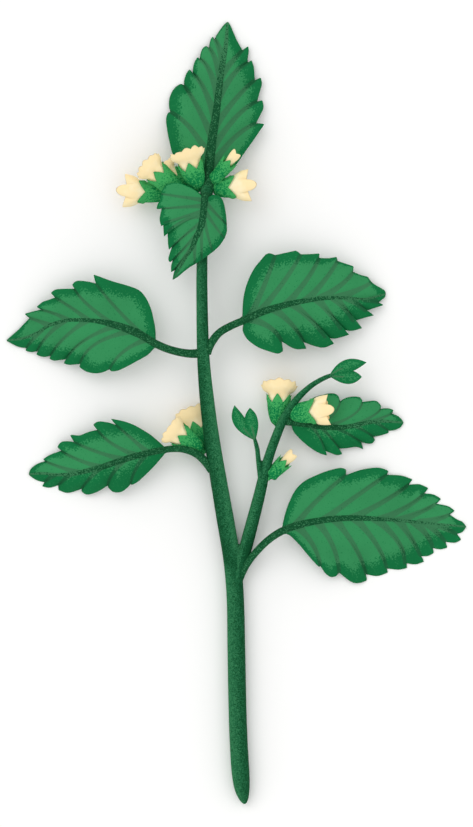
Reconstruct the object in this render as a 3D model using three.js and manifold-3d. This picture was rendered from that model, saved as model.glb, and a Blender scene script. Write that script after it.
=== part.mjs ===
// A flowering sprig of lemon balm, cut from the plant and laid on a table.
// Millimetres, +Z up. The table is z = 0, the sprig's tip points along +Y, and the origin is on the table
// under the middle of the sprig, to which the whole sprig is moved at the end.
import * as THREE from "three";
import { mergeVertices } from "three/addons/utils/BufferGeometryUtils.js";
import Module from "manifold-3d";

// Driving dimensions
const SEAT_GAP = 0.3; // between a petiole or calyx and the stem it grows from
const BLADE_THICKNESS = 0.8; // of a leaf blade, measured straight down
const EDGE_WAVE = 0.35; // how far the middle of a tooth stands above the notches beside it
const CAMBER = 0.5; // how far each half of a blade bulges up between midrib and edge
const YOUNG_LEAF_THICKNESS = 0.9; // of a leaf that is still unfolding
const YOUNG_LEAF_FOLD = 0.7; // how far its middle stands above its edges
const STALK_RADIUS = 0.75; // of a calyx where it meets the stem
const TUBE_RADIUS = 1.15; // of a corolla where it sits in its calyx
const WALL = 0.6; // of a calyx and of petals

// Shares
const STEM_SQUARENESS = 0.05; // of a stem's radius, drawn out into its four corners
const RIB_REACH = 0.93; // of a midrib's length, standing out from the blade
const TOOTH_STRIP = 0.85; // of the strip between two side veins that leads to a tooth, the rest to its notch
const CALYX_NOTCH = 0.66; // height of the notches between calyx teeth, of the calyx
const TOOTH_SPREAD = 0.14; // how far calyx teeth lean out, of the calyx's half width

// Facets
const STEM_SIDES = 12;
const PETIOLE_SIDES = 6;
const RIB_STEPS = 11; // along a midrib, under the blade
const RIB_RINGS = 8; // along the part of it that stands out
const BLADE_ROWS = 3; // strips between midrib and edge
const FIRST_ARC_STEPS = 5; // along the edge from the blade's base to its first tooth
const TOOTH_STEPS = 3; // along the edge of each other tooth
const YOUNG_LEAF_STEPS = 6;

const COLOURS = {
  stem: 0x27663f,
  leaf: 0x338f58,
  youngLeaf: 0x177542,
  calyx: 0x35a053,
  petal: 0xffe8b6,
};

const wasm = await Module();
wasm.setup();

// Each centre line is a list of [x, y, height above the table, radius], from its root to its end.
const MAIN_STEM = [
  [2.6, -125.0, 2.3, 0.4],
  [2.3, -123.7, 2.4, 1.4],
  [1.7, -120.4, 2.7, 2.5],
  [1.2, -115.6, 2.86, 3.0],
  [0.5, -104.4, 2.88, 3.06],
  [0.1, -91.6, 2.88, 3.06],
  [-0.2, -75.6, 2.88, 3.04],
  [-0.6, -58.0, 3.0, 2.95],
  [-1.6, -46.8, 3.4, 2.95],
  [-3.7, -34.0, 4.3, 2.95],
  [-5.9, -21.2, 5.3, 2.8],
  [-8.0, -8.4, 6.5, 2.65],
  [-9.6, 4.4, 7.6, 2.45],
  [-10.7, 17.2, 8.6, 2.15],
  [-11.1, 31.0, 9.4, 1.98],
  [-11.2, 46.0, 10.0, 1.87],
  [-10.8, 58.0, 10.3, 1.7],
  [-10.0, 67.4, 10.4, 1.6],
  [-9.8, 69.8, 10.4, 2.1],
  [-9.6, 72.2, 10.3, 1.95],
  [-9.5, 73.4, 10.2, 0.9],
];
const SIDE_BRANCH = [
  [0.6, -52.4, 3.5, 1.8],
  [3.1, -41.7, 4.0, 2.2],
  [5.1, -34.0, 4.7, 2.15],
  [7.1, -26.3, 5.5, 2.0],
  [8.7, -19.4, 6.2, 1.8],
  [10.3, -13.5, 6.9, 1.65],
  [12.1, -8.4, 7.4, 1.6],
  [14.4, -2.8, 8.1, 1.5],
  [16.6, 1.2, 8.6, 1.35],
  [19.0, 4.5, 9.0, 1.2],
  [21.4, 7.0, 9.3, 1.05],
  [24.6, 9.6, 9.6, 0.9],
  [29.4, 12.0, 10.0, 0.75],
];
const TWIG = [
  [8.2, -24.0, 5.9, 1.2],
  [7.3, -18.0, 6.9, 1.0],
  [6.8, -14.4, 7.6, 0.85],
  [6.5, -11.4, 8.2, 0.8],
  [5.9, -8.9, 8.5, 0.7],
];

// A leaf has a petiole and a midrib, both [x, y, height], and an edge on each side of the midrib, given from
// the blade's base to its tip. teeth are the tips of the teeth, [x, y]. shoulder pulls the first tooth's edge
// out to the blade's full width. heights are the edge's heights above the table, evenly spaced.
// depth is how far a notch is cut in behind its tooth, hook how far the tooth overhangs it, belly how round
// the teeth are and tipBelly the leaf's own tip, and lean how steeply the side veins run forward.
const LEAVES = [
  {
    name: "leaf_lower_right",
    ribRadii: [1.45, 1.25, 0.4],
    petiole: [
      [0.6, -55.0, 3.4],
      [2.8, -48.7, 4.6],
      [6.4, -43.9, 6.0],
      [10.6, -39.9, 7.0],
    ],
    midrib: [
      [15.2, -37.0, 7.4],
      [21.1, -34.8, 7.4],
      [28.2, -33.4, 6.9],
      [38.4, -32.7, 5.4],
      [49.0, -33.5, 3.4],
      [60.2, -34.6, 1.5],
      [73.6, -35.9, 0.5],
    ],
    edges: [
      {
        base: [14.7, -35.9],
        shoulder: [14.6, -20.6],
        teeth: [[34.9, -17.5], [48.6, -18.3], [56.3, -20.9], [61.3, -23.8], [65.4, -27.3], [69.8, -31.1]],
        heights: [7.0, 2.6, 0.4, -0.6, -1.0, -1.0, 0.4],
        depth: 1.5,
        hook: 0.5,
        belly: 0.08,
        tipBelly: 0.16,
        lean: 0.85,
      },
      {
        base: [15.7, -38.3],
        shoulder: [21.4, -42.0],
        teeth: [
          [26.9, -48.9],
          [31.9, -52.0],
          [41.8, -53.2],
          [48.4, -51.2],
          [54.5, -49.5],
          [60.0, -47.1],
          [63.2, -44.6],
          [67.4, -42.8],
          [71.8, -40.0],
        ],
        heights: [7.0, 3.6, 0.8, -1.4, -2.6, -2.6, -1.8, -1.0, 0.4],
        depth: 1.4,
        hook: 0.5,
        belly: 0.17,
        tipBelly: 0.16,
        lean: 0.45,
      },
    ],
  },
  {
    name: "leaf_upper_right",
    ribRadii: [1.25, 1.15, 0.36],
    petiole: [
      [-10.0, 19.0, 8.8],
      [-8.6, 22.0, 9.6],
      [-5.7, 26.2, 10.6],
      [-1.6, 29.2, 11.2],
    ],
    midrib: [
      [2.0, 31.0, 11.3],
      [6.5, 32.8, 11.2],
      [12.6, 34.6, 10.7],
      [18.8, 35.6, 9.8],
      [24.9, 36.5, 8.6],
      [31.0, 37.0, 6.8],
      [37.1, 37.2, 4.6],
      [47.9, 38.4, 0.6],
    ],
    edges: [
      {
        base: [1.6, 32.1],
        shoulder: [1.8, 45.0],
        teeth: [[9.5, 51.2], [19.4, 52.3], [26.1, 51.4], [31.9, 50.1], [37.3, 47.3], [42.1, 44.0]],
        heights: [11.0, 8.4, 6.6, 5.8, 4.8, 2.8, 0.5],
        depth: 1.3,
        hook: -0.2,
        belly: 0.04,
        tipBelly: 0.1,
        lean: 0.8,
      },
      {
        base: [1.4, 29.0],
        shoulder: [1.6, 20.6],
        teeth: [
          [14.4, 19.5],
          [22.3, 21.0],
          [30.9, 22.6],
          [35.8, 25.3],
          [40.0, 27.4],
          [43.4, 31.5],
          [46.8, 34.8],
        ],
        heights: [11.0, 7.6, 5.4, 4.6, 4.0, 2.6, 0.5],
        depth: 1.8,
        hook: 1.6,
        belly: 0.12,
        tipBelly: 0.12,
        lean: 0.55,
      },
    ],
  },
  {
    name: "leaf_upper_left",
    ribRadii: [1.25, 1.2, 0.36],
    petiole: [
      [-10.6, 19.4, 8.8],
      [-15.0, 19.2, 9.6],
      [-18.9, 19.9, 10.3],
      [-22.7, 21.4, 10.7],
    ],
    midrib: [
      [-26.6, 23.4, 10.8],
      [-34.2, 26.8, 10.4],
      [-41.6, 29.2, 9.4],
      [-49.0, 30.1, 7.6],
      [-55.3, 29.4, 5.6],
      [-60.8, 27.8, 3.8],
      [-66.4, 25.6, 2.0],
      [-74.0, 23.5, 0.5],
    ],
    edges: [
      {
        base: [-26.2, 24.6],
        shoulder: [-26.0, 41.2],
        teeth: [[-45.8, 44.4], [-52.9, 41.7], [-59.8, 38.9], [-64.4, 34.5], [-68.2, 32.2]],
        heights: [10.6, 7.4, 5.6, 4.6, 3.2, 1.2, 0.4],
        depth: 1.5,
        hook: 0.3,
        belly: 0.08,
        tipBelly: -0.03,
        lean: 0.75,
      },
      {
        base: [-26.6, 22.0],
        shoulder: [-29.6, 16.8],
        teeth: [
          [-40.2, 13.4],
          [-50.4, 14.8],
          [-55.4, 15.9],
          [-60.1, 17.3],
          [-64.4, 18.8],
          [-67.7, 20.1],
        ],
        heights: [10.6, 6.6, 4.0, 2.4, 1.2, 0.4, 0.4],
        depth: 0.9,
        hook: -0.2,
        belly: 0.13,
        tipBelly: 0.02,
        lean: 0.75,
      },
    ],
  },
  {
    name: "leaf_lower_left",
    ribRadii: [1.3, 1.15, 0.36],
    petiole: [
      [-7.6, -18.2, 5.2],
      [-10.6, -14.8, 5.0],
      [-13.4, -12.6, 5.6],
      [-17.3, -11.3, 6.8],
      [-20.5, -11.2, 7.6],
    ],
    midrib: [
      [-23.7, -11.7, 8.0],
      [-28.6, -12.6, 7.8],
      [-34.8, -14.4, 7.2],
      [-40.9, -16.2, 6.2],
      [-45.6, -17.5, 5.2],
      [-51.4, -18.8, 3.7],
      [-57.0, -19.4, 2.2],
      [-66.8, -19.4, 0.5],
    ],
    edges: [
      {
        base: [-23.5, -10.6],
        shoulder: [-31.0, -3.4],
        teeth: [[-40.2, -1.7], [-46.0, -3.0], [-53.1, -6.7], [-57.4, -10.9], [-62.0, -14.6]],
        heights: [7.8, 6.0, 4.4, 3.2, 1.6, 0.4, 0.4],
        depth: 1.6,
        hook: -0.6,
        belly: 0.09,
        tipBelly: 0.14,
        lean: 1.0,
      },
      {
        base: [-23.6, -12.8],
        shoulder: [-28.4, -19.0],
        teeth: [[-33.2, -22.7], [-41.4, -23.9], [-49.8, -24.8], [-57.3, -23.9], [-62.4, -23.0]],
        heights: [7.8, 5.0, 2.4, 0.8, -0.4, -0.4, 0.4],
        depth: 0.9,
        hook: 0.1,
        belly: 0.2,
        tipBelly: 0.14,
        lean: 0.6,
      },
    ],
  },
  {
    name: "leaf_branch",
    ribRadii: [1.3, 1.25, 0.36],
    petiole: [
      [14.4, -1.9, 7.9],
      [16.4, -2.4, 7.4],
    ],
    midrib: [
      [18.2, -2.8, 7.0],
      [21.4, -3.3, 6.7],
      [27.2, -3.9, 6.1],
      [31.4, -4.1, 5.5],
      [35.4, -3.8, 4.7],
      [39.5, -3.1, 3.7],
      [44.8, -2.5, 2.2],
      [53.3, -2.9, 0.5],
    ],
    edges: [
      {
        base: [18.0, -1.8],
        shoulder: [22.6, 4.8],
        teeth: [[32.6, 5.9], [40.0, 4.7], [46.1, 3.1], [50.2, 1.1]],
        heights: [6.8, 4.4, 3.4, 2.2, 1.0, 0.5],
        depth: 1.5,
        hook: -0.3,
        belly: 0.15,
        tipBelly: 0.14,
        lean: 0.6,
      },
      {
        base: [17.8, -3.9],
        shoulder: [20.6, -9.6],
        teeth: [[28.9, -13.3], [33.6, -13.2], [40.3, -11.2], [44.2, -8.5], [48.5, -6.2]],
        heights: [6.8, 4.2, 2.2, 1.2, 0.6, 0.4, 0.5],
        depth: 1.5,
        hook: 0.7,
        belly: 0.09,
        tipBelly: 0.14,
        lean: 0.4,
      },
    ],
  },
  {
    name: "leaf_top",
    ribRadii: [1.6, 1.5, 0.4],
    petiole: [
      [-9.6, 70.9, 10.2],
      [-9.3, 74.0, 9.2],
    ],
    midrib: [
      [-9.0, 76.4, 8.2],
      [-7.9, 87.8, 6.6],
      [-6.5, 96.0, 5.8],
      [-5.4, 105.5, 4.6],
      [-4.5, 112.0, 3.4],
      [-3.7, 118.0, 1.9],
      [-3.1, 125.6, 0.5],
    ],
    edges: [
      {
        base: [-10.0, 76.2],
        shoulder: [-24.8, 84.0],
        teeth: [[-22.2, 96.5], [-18.1, 105.4], [-15.4, 110.1], [-12.7, 113.9], [-10.3, 117.6], [-7.9, 120.6]],
        heights: [7.6, 0.6, 0.4, 1.4, 1.6, 1.0, 0.5],
        depth: 1.0,
        hook: -0.7,
        belly: 0.12,
        tipBelly: 0.0,
        lean: 0.9,
      },
      {
        base: [-8.0, 76.2],
        shoulder: [-0.6, 80.4],
        teeth: [[8.6, 92.7], [8.1, 100.1], [7.6, 107.4], [4.8, 113.1], [3.6, 117.5]],
        heights: [7.6, 3.0, 2.0, 1.8, 1.4, 0.9, 0.5],
        depth: 2.1,
        hook: -0.4,
        belly: 0.12,
        tipBelly: -0.05,
        lean: 0.75,
      },
    ],
  },
  {
    name: "leaf_folded",
    ribRadii: [1.15, 1.1, 0.35],
    petiole: [
      [-9.9, 69.0, 11.0],
      [-10.1, 69.2, 12.6],
    ],
    midrib: [
      [-10.3, 68.6, 13.6],
      [-10.6, 64.7, 14.8],
      [-11.4, 60.0, 15.0],
      [-13.5, 55.2, 14.6],
      [-16.5, 49.9, 13.2],
      [-20.5, 42.7, 10.0],
    ],
    edges: [
      {
        base: [-9.5, 69.6],
        shoulder: [-3.0, 70.0],
        teeth: [[-3.2, 60.1], [-6.4, 52.8], [-12.9, 47.8]],
        heights: [13.4, 11.8, 10.8, 11.6, 13.0, 13.2, 12.6, 10.0],
        depth: 0.12,
        hook: 0.0,
        belly: 0.12,
        tipBelly: 0.1,
        lean: 0.2,
      },
      {
        base: [-11.2, 70.2],
        shoulder: [-24.4, 79.0],
        teeth: [[-25.5, 65.6], [-24.6, 60.2], [-23.4, 56.8], [-22.0, 52.7], [-21.8, 48.6], [-21.3, 45.4]],
        heights: [13.4, 13.4, 13.0, 11.4, 10.4, 9.8, 9.8, 10.0],
        depth: 0.9,
        hook: 0.2,
        belly: 0.12,
        tipBelly: 0.0,
        lean: -0.1,
      },
    ],
  },
];

// A pair of young leaves at the end of a stem, from root to tip. Each leaf's edge passes through outside and
// inside, and the two leaves are one piece as far as the fork between them.
const YOUNG_PAIRS = [
  {
    name: "young_leaves_branch",
    root: [29.4, 12.1, 10.0],
    leaves: [
      { tip: [41.4, 16.4, 9.4], outside: [34.5, 17.2], inside: [35.6, 13.0] },
      { tip: [39.9, 11.8, 8.8], outside: [35.4, 9.5], inside: [35.4, 14.0] },
    ],
  },
  {
    name: "young_leaves_twig",
    root: [5.8, -8.6, 8.6],
    leaves: [
      { tip: [-0.8, 2.7, 8.4], outside: [-0.9, -3.6], inside: [3.6, -3.0] },
      { tip: [4.1, 1.9, 9.0], outside: [6.7, -2.2], inside: [2.4, -3.2] },
    ],
  },
];

// A bloom grows from root along its axis to mouth, both [x, y, height]. start is how far from root its calyx
// begins, and the calyx teeth end at mouth. kind is trumpet (open, with round lobes), fan (full and ruffled)
// or bud. calyx and petals are half widths at the calyx mouth and at the widest petals, reach is how far the
// petals stand out past the calyx, and flat is the bloom's height as a share of its width.
const BLOOMS = [
  { name: "top_far_left", kind: "trumpet", root: [-11.0, 70.4, 9.0], start: 9.8, mouth: [-31.2, 70.4, 6.2],
    calyx: 3.4, petals: 5.4, reach: 6.6, flat: 0.62 },
  { name: "top_left", kind: "fan", root: [-11.2, 70.6, 10.4], start: 3.6, mouth: [-24.3, 76.8, 10.4],
    calyx: 3.5, petals: 4.7, reach: 5.0, flat: 0.7 },
  { name: "top_left_back", kind: "fan", root: [-11.0, 72.4, 9.2], start: 3.4, mouth: [-19.6, 79.8, 7.2],
    calyx: 2.1, petals: 2.8, reach: 2.6, flat: 0.66 },
  { name: "top_centre", kind: "fan", root: [-10.2, 72.0, 11.6], start: 2.4, mouth: [-14.1, 80.2, 13.2],
    calyx: 3.9, petals: 5.8, reach: 4.2, flat: 0.7 },
  { name: "top_right_back", kind: "bud", root: [-8.4, 72.4, 11.2], start: 1.6, mouth: [-2.4, 80.2, 11.4],
    calyx: 2.0, petals: 1.8, reach: 4.2, flat: 0.85 },
  { name: "top_far_right", kind: "trumpet", root: [-8.4, 70.8, 10.2], start: 1.0, mouth: [-0.4, 72.4, 9.6],
    calyx: 3.4, petals: 5.2, reach: 6.0, flat: 0.62 },
  { name: "left_axil", kind: "fan", root: [-9.6, -13.6, 8.4], start: 1.6, mouth: [-18.4, -6.8, 9.8],
    calyx: 3.6, petals: 4.7, reach: 3.9, flat: 0.66 },
  { name: "left_axil_back", kind: "fan", root: [-9.6, -12.8, 4.9], start: 1.6, mouth: [-14.8, -2.4, 4.1],
    calyx: 3.2, petals: 4.5, reach: 3.6, flat: 0.55 },
  { name: "branch_left", kind: "fan", root: [14.4, -2.8, 6.8], start: 1.2, mouth: [14.0, 6.2, 6.0],
    calyx: 3.7, petals: 5.9, reach: 3.7, flat: 0.66 },
  { name: "branch_right", kind: "trumpet", root: [15.4, -1.4, 9.6], start: 2.2, mouth: [26.0, 1.0, 11.2],
    calyx: 3.9, petals: 4.8, reach: 5.6, flat: 0.62 },
  { name: "branch_low", kind: "bud", root: [10.0, -20.6, 6.8], start: 1.4, mouth: [16.4, -14.2, 6.6],
    calyx: 1.9, petals: 1.8, reach: 4.2, flat: 0.85 },
];

const lerp = THREE.MathUtils.lerp;
const clamp = THREE.MathUtils.clamp;

// Joins

function solidOf(geometry) {
  const bare = new THREE.BufferGeometry();
  bare.setAttribute("position", geometry.getAttribute("position").clone());
  if (geometry.index) bare.setIndex(geometry.index.clone());
  const merged = mergeVertices(bare, 1e-4);
  return new wasm.Manifold(
    new wasm.Mesh({
      numProp: 3,
      vertProperties: new Float32Array(merged.getAttribute("position").array),
      triVerts: new Uint32Array(merged.index.array),
    }),
  );
}

function geometryOf(solid) {
  const mesh = solid.getMesh();
  const geometry = new THREE.BufferGeometry();
  geometry.setAttribute("position", new THREE.BufferAttribute(new Float32Array(mesh.vertProperties), 3));
  geometry.setIndex(new THREE.BufferAttribute(new Uint32Array(mesh.triVerts), 1));
  geometry.computeVertexNormals();
  return geometry;
}

function trianglesGeometry(points, triangles) {
  const geometry = new THREE.BufferGeometry().setFromPoints(points);
  geometry.setIndex(triangles.flat());
  return geometry;
}

function piece(name, geometry, colour, roughness) {
  const material = new THREE.MeshStandardMaterial({ color: colour, roughness, metalness: 0 });
  const mesh = new THREE.Mesh(geometry, material);
  mesh.name = name;
  return mesh;
}

// Stems

// A tube along a centre line whose section is drawn level with the table. square is how far the round section
// is drawn out into four corners, and grow is added to the radius.
function taperedTube(line, sides, square, grow) {
  const centres = line.map(([x, y, z]) => new THREE.Vector3(x, y, z));
  const points = [];
  centres.forEach((centre, i) => {
    const before = centres[Math.max(i - 1, 0)];
    const after = centres[Math.min(i + 1, centres.length - 1)];
    const along = after.clone().sub(before).normalize();
    const aside = new THREE.Vector3(0, 0, 1).cross(along).normalize();
    const above = along.clone().cross(aside).normalize();
    for (let k = 0; k < sides; k++) {
      const turn = (2 * Math.PI * (k + 0.5)) / sides;
      const radius = (line[i][3] + grow) * (1 - square * Math.cos(4 * turn));
      const point = centre.clone();
      point.addScaledVector(aside, radius * Math.cos(turn));
      point.addScaledVector(above, radius * Math.sin(turn));
      points.push(point);
    }
  });
  const root = points.push(centres[0].clone()) - 1;
  const end = points.push(centres.at(-1).clone()) - 1;
  const triangles = [];
  const last = (centres.length - 1) * sides;
  for (let k = 0; k < sides; k++) {
    const next = (k + 1) % sides;
    triangles.push([root, next, k], [end, last + k, last + next]);
    for (let ring = 0; ring < last; ring += sides) {
      triangles.push([ring + k, ring + next, ring + sides + next]);
      triangles.push([ring + k, ring + sides + next, ring + sides + k]);
    }
  }
  return solidOf(trianglesGeometry(points, triangles));
}

function stemSolid(grow) {
  const tube = (line) => taperedTube(line, STEM_SIDES, STEM_SQUARENESS, grow);
  return tube(MAIN_STEM).add(tube(SIDE_BRANCH)).add(tube(TWIG));
}

// Leaves

function at(curve, share) {
  return curve.getPointAt(clamp(share, 0, 1));
}

function heightAlong(heights, share) {
  const place = clamp(share, 0, 1) * (heights.length - 1);
  const i = Math.min(Math.floor(place), heights.length - 2);
  return lerp(heights[i], heights[i + 1], place - i);
}

// The share of the midrib's length nearest to a point of the plan, and how far off the point is.
function nearest(curve, [x, y]) {
  const steps = 200;
  let best = { share: 0, distance: Infinity };
  for (let i = 0; i <= steps; i++) {
    const p = at(curve, i / steps);
    const distance = Math.hypot(p.x - x, p.y - y);
    if (distance < best.distance) best = { share: i / steps, distance };
  }
  return best;
}

// The notch behind a tooth: in towards the midrib by depth, and back towards the base by hook.
function notchBehind(curve, [x, y], depth, hook) {
  const { share } = nearest(curve, [x, y]);
  const rib = at(curve, share);
  const inward = new THREE.Vector2(rib.x - x, rib.y - y).normalize();
  const tangent = curve.getTangentAt(share);
  const forward = new THREE.Vector2(tangent.x, tangent.y).normalize();
  return [x + inward.x * depth - forward.x * hook, y + inward.y * depth - forward.y * hook];
}

// The edge as points { x, y, rib, along }: rib is the share of the midrib where the strip to that point
// starts, so the strips run forward as the side veins do, and along counts the teeth passed.
function edgePoints(curve, edge) {
  const length = curve.getLength();
  const tip = at(curve, 1);
  const starts = [edge.base, ...edge.teeth.map((tooth) => notchBehind(curve, tooth, edge.depth, edge.hook))];
  const ribs = [0];
  for (const notch of starts.slice(1)) {
    const { share, distance } = nearest(curve, notch);
    const wanted = share - (edge.lean * distance) / length;
    ribs.push(clamp(wanted, ribs.at(-1) + 0.03, 0.985));
  }
  ribs.push(1);
  const tips = [...edge.teeth, [tip.x, tip.y]];
  const points = [];
  tips.forEach((tooth, i) => {
    const from = new THREE.Vector2(...starts[i]);
    const to = new THREE.Vector2(...tooth);
    const chord = to.clone().sub(from);
    const out = new THREE.Vector2(-chord.y, chord.x).normalize();
    const rib = at(curve, (ribs[i] + ribs[i + 1]) / 2);
    if (out.dot(from.clone().sub(new THREE.Vector2(rib.x, rib.y))) < 0) out.negate();
    const belly = i === edge.teeth.length ? edge.tipBelly : edge.belly;
    const pull = from.clone().lerp(to, 0.4).addScaledVector(out, 2 * belly * chord.length());
    const control = i === 0 ? new THREE.Vector2(...edge.shoulder) : pull;
    const arc = new THREE.QuadraticBezierCurve(from, control, to);
    const steps = i === 0 ? FIRST_ARC_STEPS : TOOTH_STEPS;
    for (let k = 0; k <= steps; k++) {
      const p = arc.getPoint(k / steps);
      const passed = (TOOTH_STRIP * k) / steps;
      points.push({ x: p.x, y: p.y, rib: lerp(ribs[i], ribs[i + 1], passed), along: i + passed });
    }
  });
  points.pop();
  points.push({ x: tip.x, y: tip.y, rib: 1, along: tips.length });
  return points;
}

// The blade's middle surface: rows of points beside each other, from the midrib to each edge.
function bladeSolid(leaf, curve) {
  const points = [];
  const triangles = [];
  const half = BLADE_THICKNESS / 2;
  const add = (x, y, z) => points.push(new THREE.Vector3(x, y, Math.max(z, half))) - 1;
  const end = at(curve, 1);
  const tipPoint = add(end.x, end.y, end.z);
  const ribRow = [];
  for (let i = 0; i < RIB_STEPS; i++) {
    const p = at(curve, i / RIB_STEPS);
    ribRow.push({ index: add(p.x, p.y, p.z), rib: i / RIB_STEPS });
  }
  ribRow.push({ index: tipPoint, rib: 1 });

  for (const edge of leaf.edges) {
    const outline = edgePoints(curve, edge);
    const teeth = edge.teeth.length + 1;
    const strips = [];
    let inner = ribRow;
    for (let row = 1; row <= BLADE_ROWS; row++) {
      const t = row / BLADE_ROWS;
      const outer = outline.map(({ x, y, rib, along }) => {
        if (rib === 1) return { index: tipPoint, rib };
        const start = at(curve, rib);
        const wave = EDGE_WAVE * t * t * (Math.abs(Math.sin(Math.PI * along)) - 0.5);
        const rise = CAMBER * Math.sin(Math.PI * t) * Math.sin(Math.PI * rib ** 0.6);
        const z = lerp(start.z, heightAlong(edge.heights, along / teeth), t ** 1.3) + wave + rise;
        return { index: add(lerp(start.x, x, t), lerp(start.y, y, t), z), rib };
      });
      let a = 0;
      let b = 0;
      while (a < inner.length - 1 || b < outer.length - 1) {
        const innerNext = a < inner.length - 1 ? inner[a + 1].rib : Infinity;
        const outerNext = b < outer.length - 1 ? outer[b + 1].rib : Infinity;
        if (inner !== ribRow ? b <= a && b < outer.length - 1 : outerNext <= innerNext) {
          strips.push([inner[a].index, outer[b].index, outer[b + 1].index]);
          b++;
        } else {
          strips.push([inner[a].index, outer[b].index, inner[a + 1].index]);
          a++;
        }
      }
      inner = outer;
    }
    triangles.push(...facingUp(points, strips));
  }
  return slabSolid(points, triangles, BLADE_THICKNESS);
}

// Triangles that all turn one way, turned over together if that way is downward.
function facingUp(points, triangles) {
  const real = triangles.filter(([a, b, c]) => a !== b && b !== c && c !== a);
  const area = real.reduce((sum, [a, b, c]) => {
    const ab = points[b].clone().sub(points[a]);
    const ac = points[c].clone().sub(points[a]);
    return sum + ab.x * ac.y - ab.y * ac.x;
  }, 0);
  return area < 0 ? real.map(([a, b, c]) => [a, c, b]) : real;
}

// A thin solid round a middle surface that is split into triangles: the same ones on both faces.
function slabSolid(points, triangles, thickness) {
  const lift = new THREE.Vector3(0, 0, thickness / 2);
  const n = points.length;
  const both = [...points.map((p) => p.clone().add(lift)), ...points.map((p) => p.clone().sub(lift))];
  const faces = triangles.flatMap(([a, b, c]) => [[a, b, c], [n + a, n + c, n + b]]);
  const sides = new Map();
  for (const [a, b, c] of triangles)
    for (const [from, to] of [[a, b], [b, c], [c, a]]) sides.set(`${from} ${to}`, [from, to]);
  for (const [from, to] of sides.values())
    if (!sides.has(`${to} ${from}`)) faces.push([from, n + from, n + to], [from, n + to, to]);
  return solidOf(trianglesGeometry(both, faces));
}

function leafSolid(leaf) {
  const curve = new THREE.CatmullRomCurve3(leaf.midrib.map((p) => new THREE.Vector3(...p)));
  const [rootRadius, baseRadius, tipRadius] = leaf.ribRadii;
  const petiole = leaf.petiole.map(([x, y, z], i, all) => {
    return [x, y, z, lerp(rootRadius, baseRadius, i / all.length)];
  });
  const rib = Array.from({ length: RIB_RINGS + 1 }, (_, i) => {
    const p = at(curve, (RIB_REACH * i) / RIB_RINGS);
    const radius = lerp(baseRadius, tipRadius, i / RIB_RINGS);
    return [p.x, p.y, Math.max(p.z, radius), radius];
  });
  return bladeSolid(leaf, curve).add(taperedTube([...petiole, ...rib], PETIOLE_SIDES, 0, 0));
}

// Young leaves: each a small pointed blade, folded up a little along its middle.

// A curve of the plan from one end to the other through a point between them.
function arcThrough(from, middle, to) {
  const plan = ([x, y]) => new THREE.Vector2(x, y);
  const control = plan(middle).multiplyScalar(2);
  control.addScaledVector(plan(from), -0.5).addScaledVector(plan(to), -0.5);
  return new THREE.QuadraticBezierCurve(plan(from), control, plan(to));
}

function youngLeafSolid(root, { tip, outside, inside }) {
  const steps = YOUNG_LEAF_STEPS;
  const outer = arcThrough(root, outside, tip);
  const inner = arcThrough(root, inside, tip);
  const points = [new THREE.Vector3(...root)];
  for (let i = 1; i < steps; i++) {
    const a = outer.getPoint(i / steps);
    const b = inner.getPoint(i / steps);
    const z = lerp(root[2], tip[2], i / steps);
    const fold = (YOUNG_LEAF_FOLD / 2) * Math.sin((Math.PI * i) / steps);
    points.push(new THREE.Vector3(a.x, a.y, z - fold));
    points.push(new THREE.Vector3((a.x + b.x) / 2, (a.y + b.y) / 2, z + fold));
    points.push(new THREE.Vector3(b.x, b.y, z - fold));
  }
  const end = points.push(new THREE.Vector3(...tip)) - 1;
  const triangles = [[0, 1, 2], [0, 2, 3]];
  for (let k = 1; k < end - 3; k += 3) {
    triangles.push([k, k + 3, k + 4], [k, k + 4, k + 1]);
    triangles.push([k + 1, k + 4, k + 5], [k + 1, k + 5, k + 2]);
  }
  triangles.push([end - 3, end, end - 2], [end - 2, end, end - 1]);
  return slabSolid(points, facingUp(points, triangles), YOUNG_LEAF_THICKNESS);
}

// Blooms: a calyx and a corolla, each turned round the bloom's own axis and drawn out into teeth or lobes.

// 0 in the notch between two of the count teeth or lobes, 1 at a tip.
function lobe(turn, count) {
  return Math.abs(((turn * count) % 1) * 2 - 1);
}

// A cup turned round +Z, with its first tooth or lobe at the angle firstTip. The profile is
// [radius, height, swing] from the foot on the axis, out, up to the rim, and down inside to the axis again.
// shape moves a point that swings by its place round the rim.
function cupGeometry(profile, sides, firstTip, shape) {
  const geometry = new THREE.LatheGeometry(
    profile.map(([radius, height]) => new THREE.Vector2(radius, height)),
    sides,
  );
  const turned = geometry.toNonIndexed();
  turned.rotateX(Math.PI / 2);
  const position = turned.getAttribute("position");
  const uv = turned.getAttribute("uv");
  for (let i = 0; i < position.count; i++) {
    const [radius, height, swing] = profile[Math.round(uv.getY(i) * (profile.length - 1))];
    const turn = (Math.round(uv.getX(i) * sides) % sides) / sides;
    const angle = 2 * Math.PI * turn + firstTip;
    const { out, up } = shape(turn, angle, swing);
    const r = radius === 0 ? 0 : radius + swing * out;
    position.setXYZ(i, r * Math.cos(angle), r * Math.sin(angle), height + swing * up);
  }
  return turned;
}

// Teeth of the calyx, with the first at the angle firstTooth, lobes of the corolla, facets round it, how deep
// its notches are cut and how much shorter its lower side is, both as shares of its reach.
const KINDS = {
  trumpet: { teeth: 4, firstTooth: Math.PI / 4, lobes: 5, sides: 30, cut: 0.42, lower: 0.45 },
  fan: { teeth: 5, firstTooth: Math.PI / 2, lobes: 10, sides: 20, cut: 0.16, lower: 0.1 },
  bud: { teeth: 4, firstTooth: Math.PI / 4, lobes: 5, sides: 10, cut: 0.26, lower: 0.1 },
};

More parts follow.
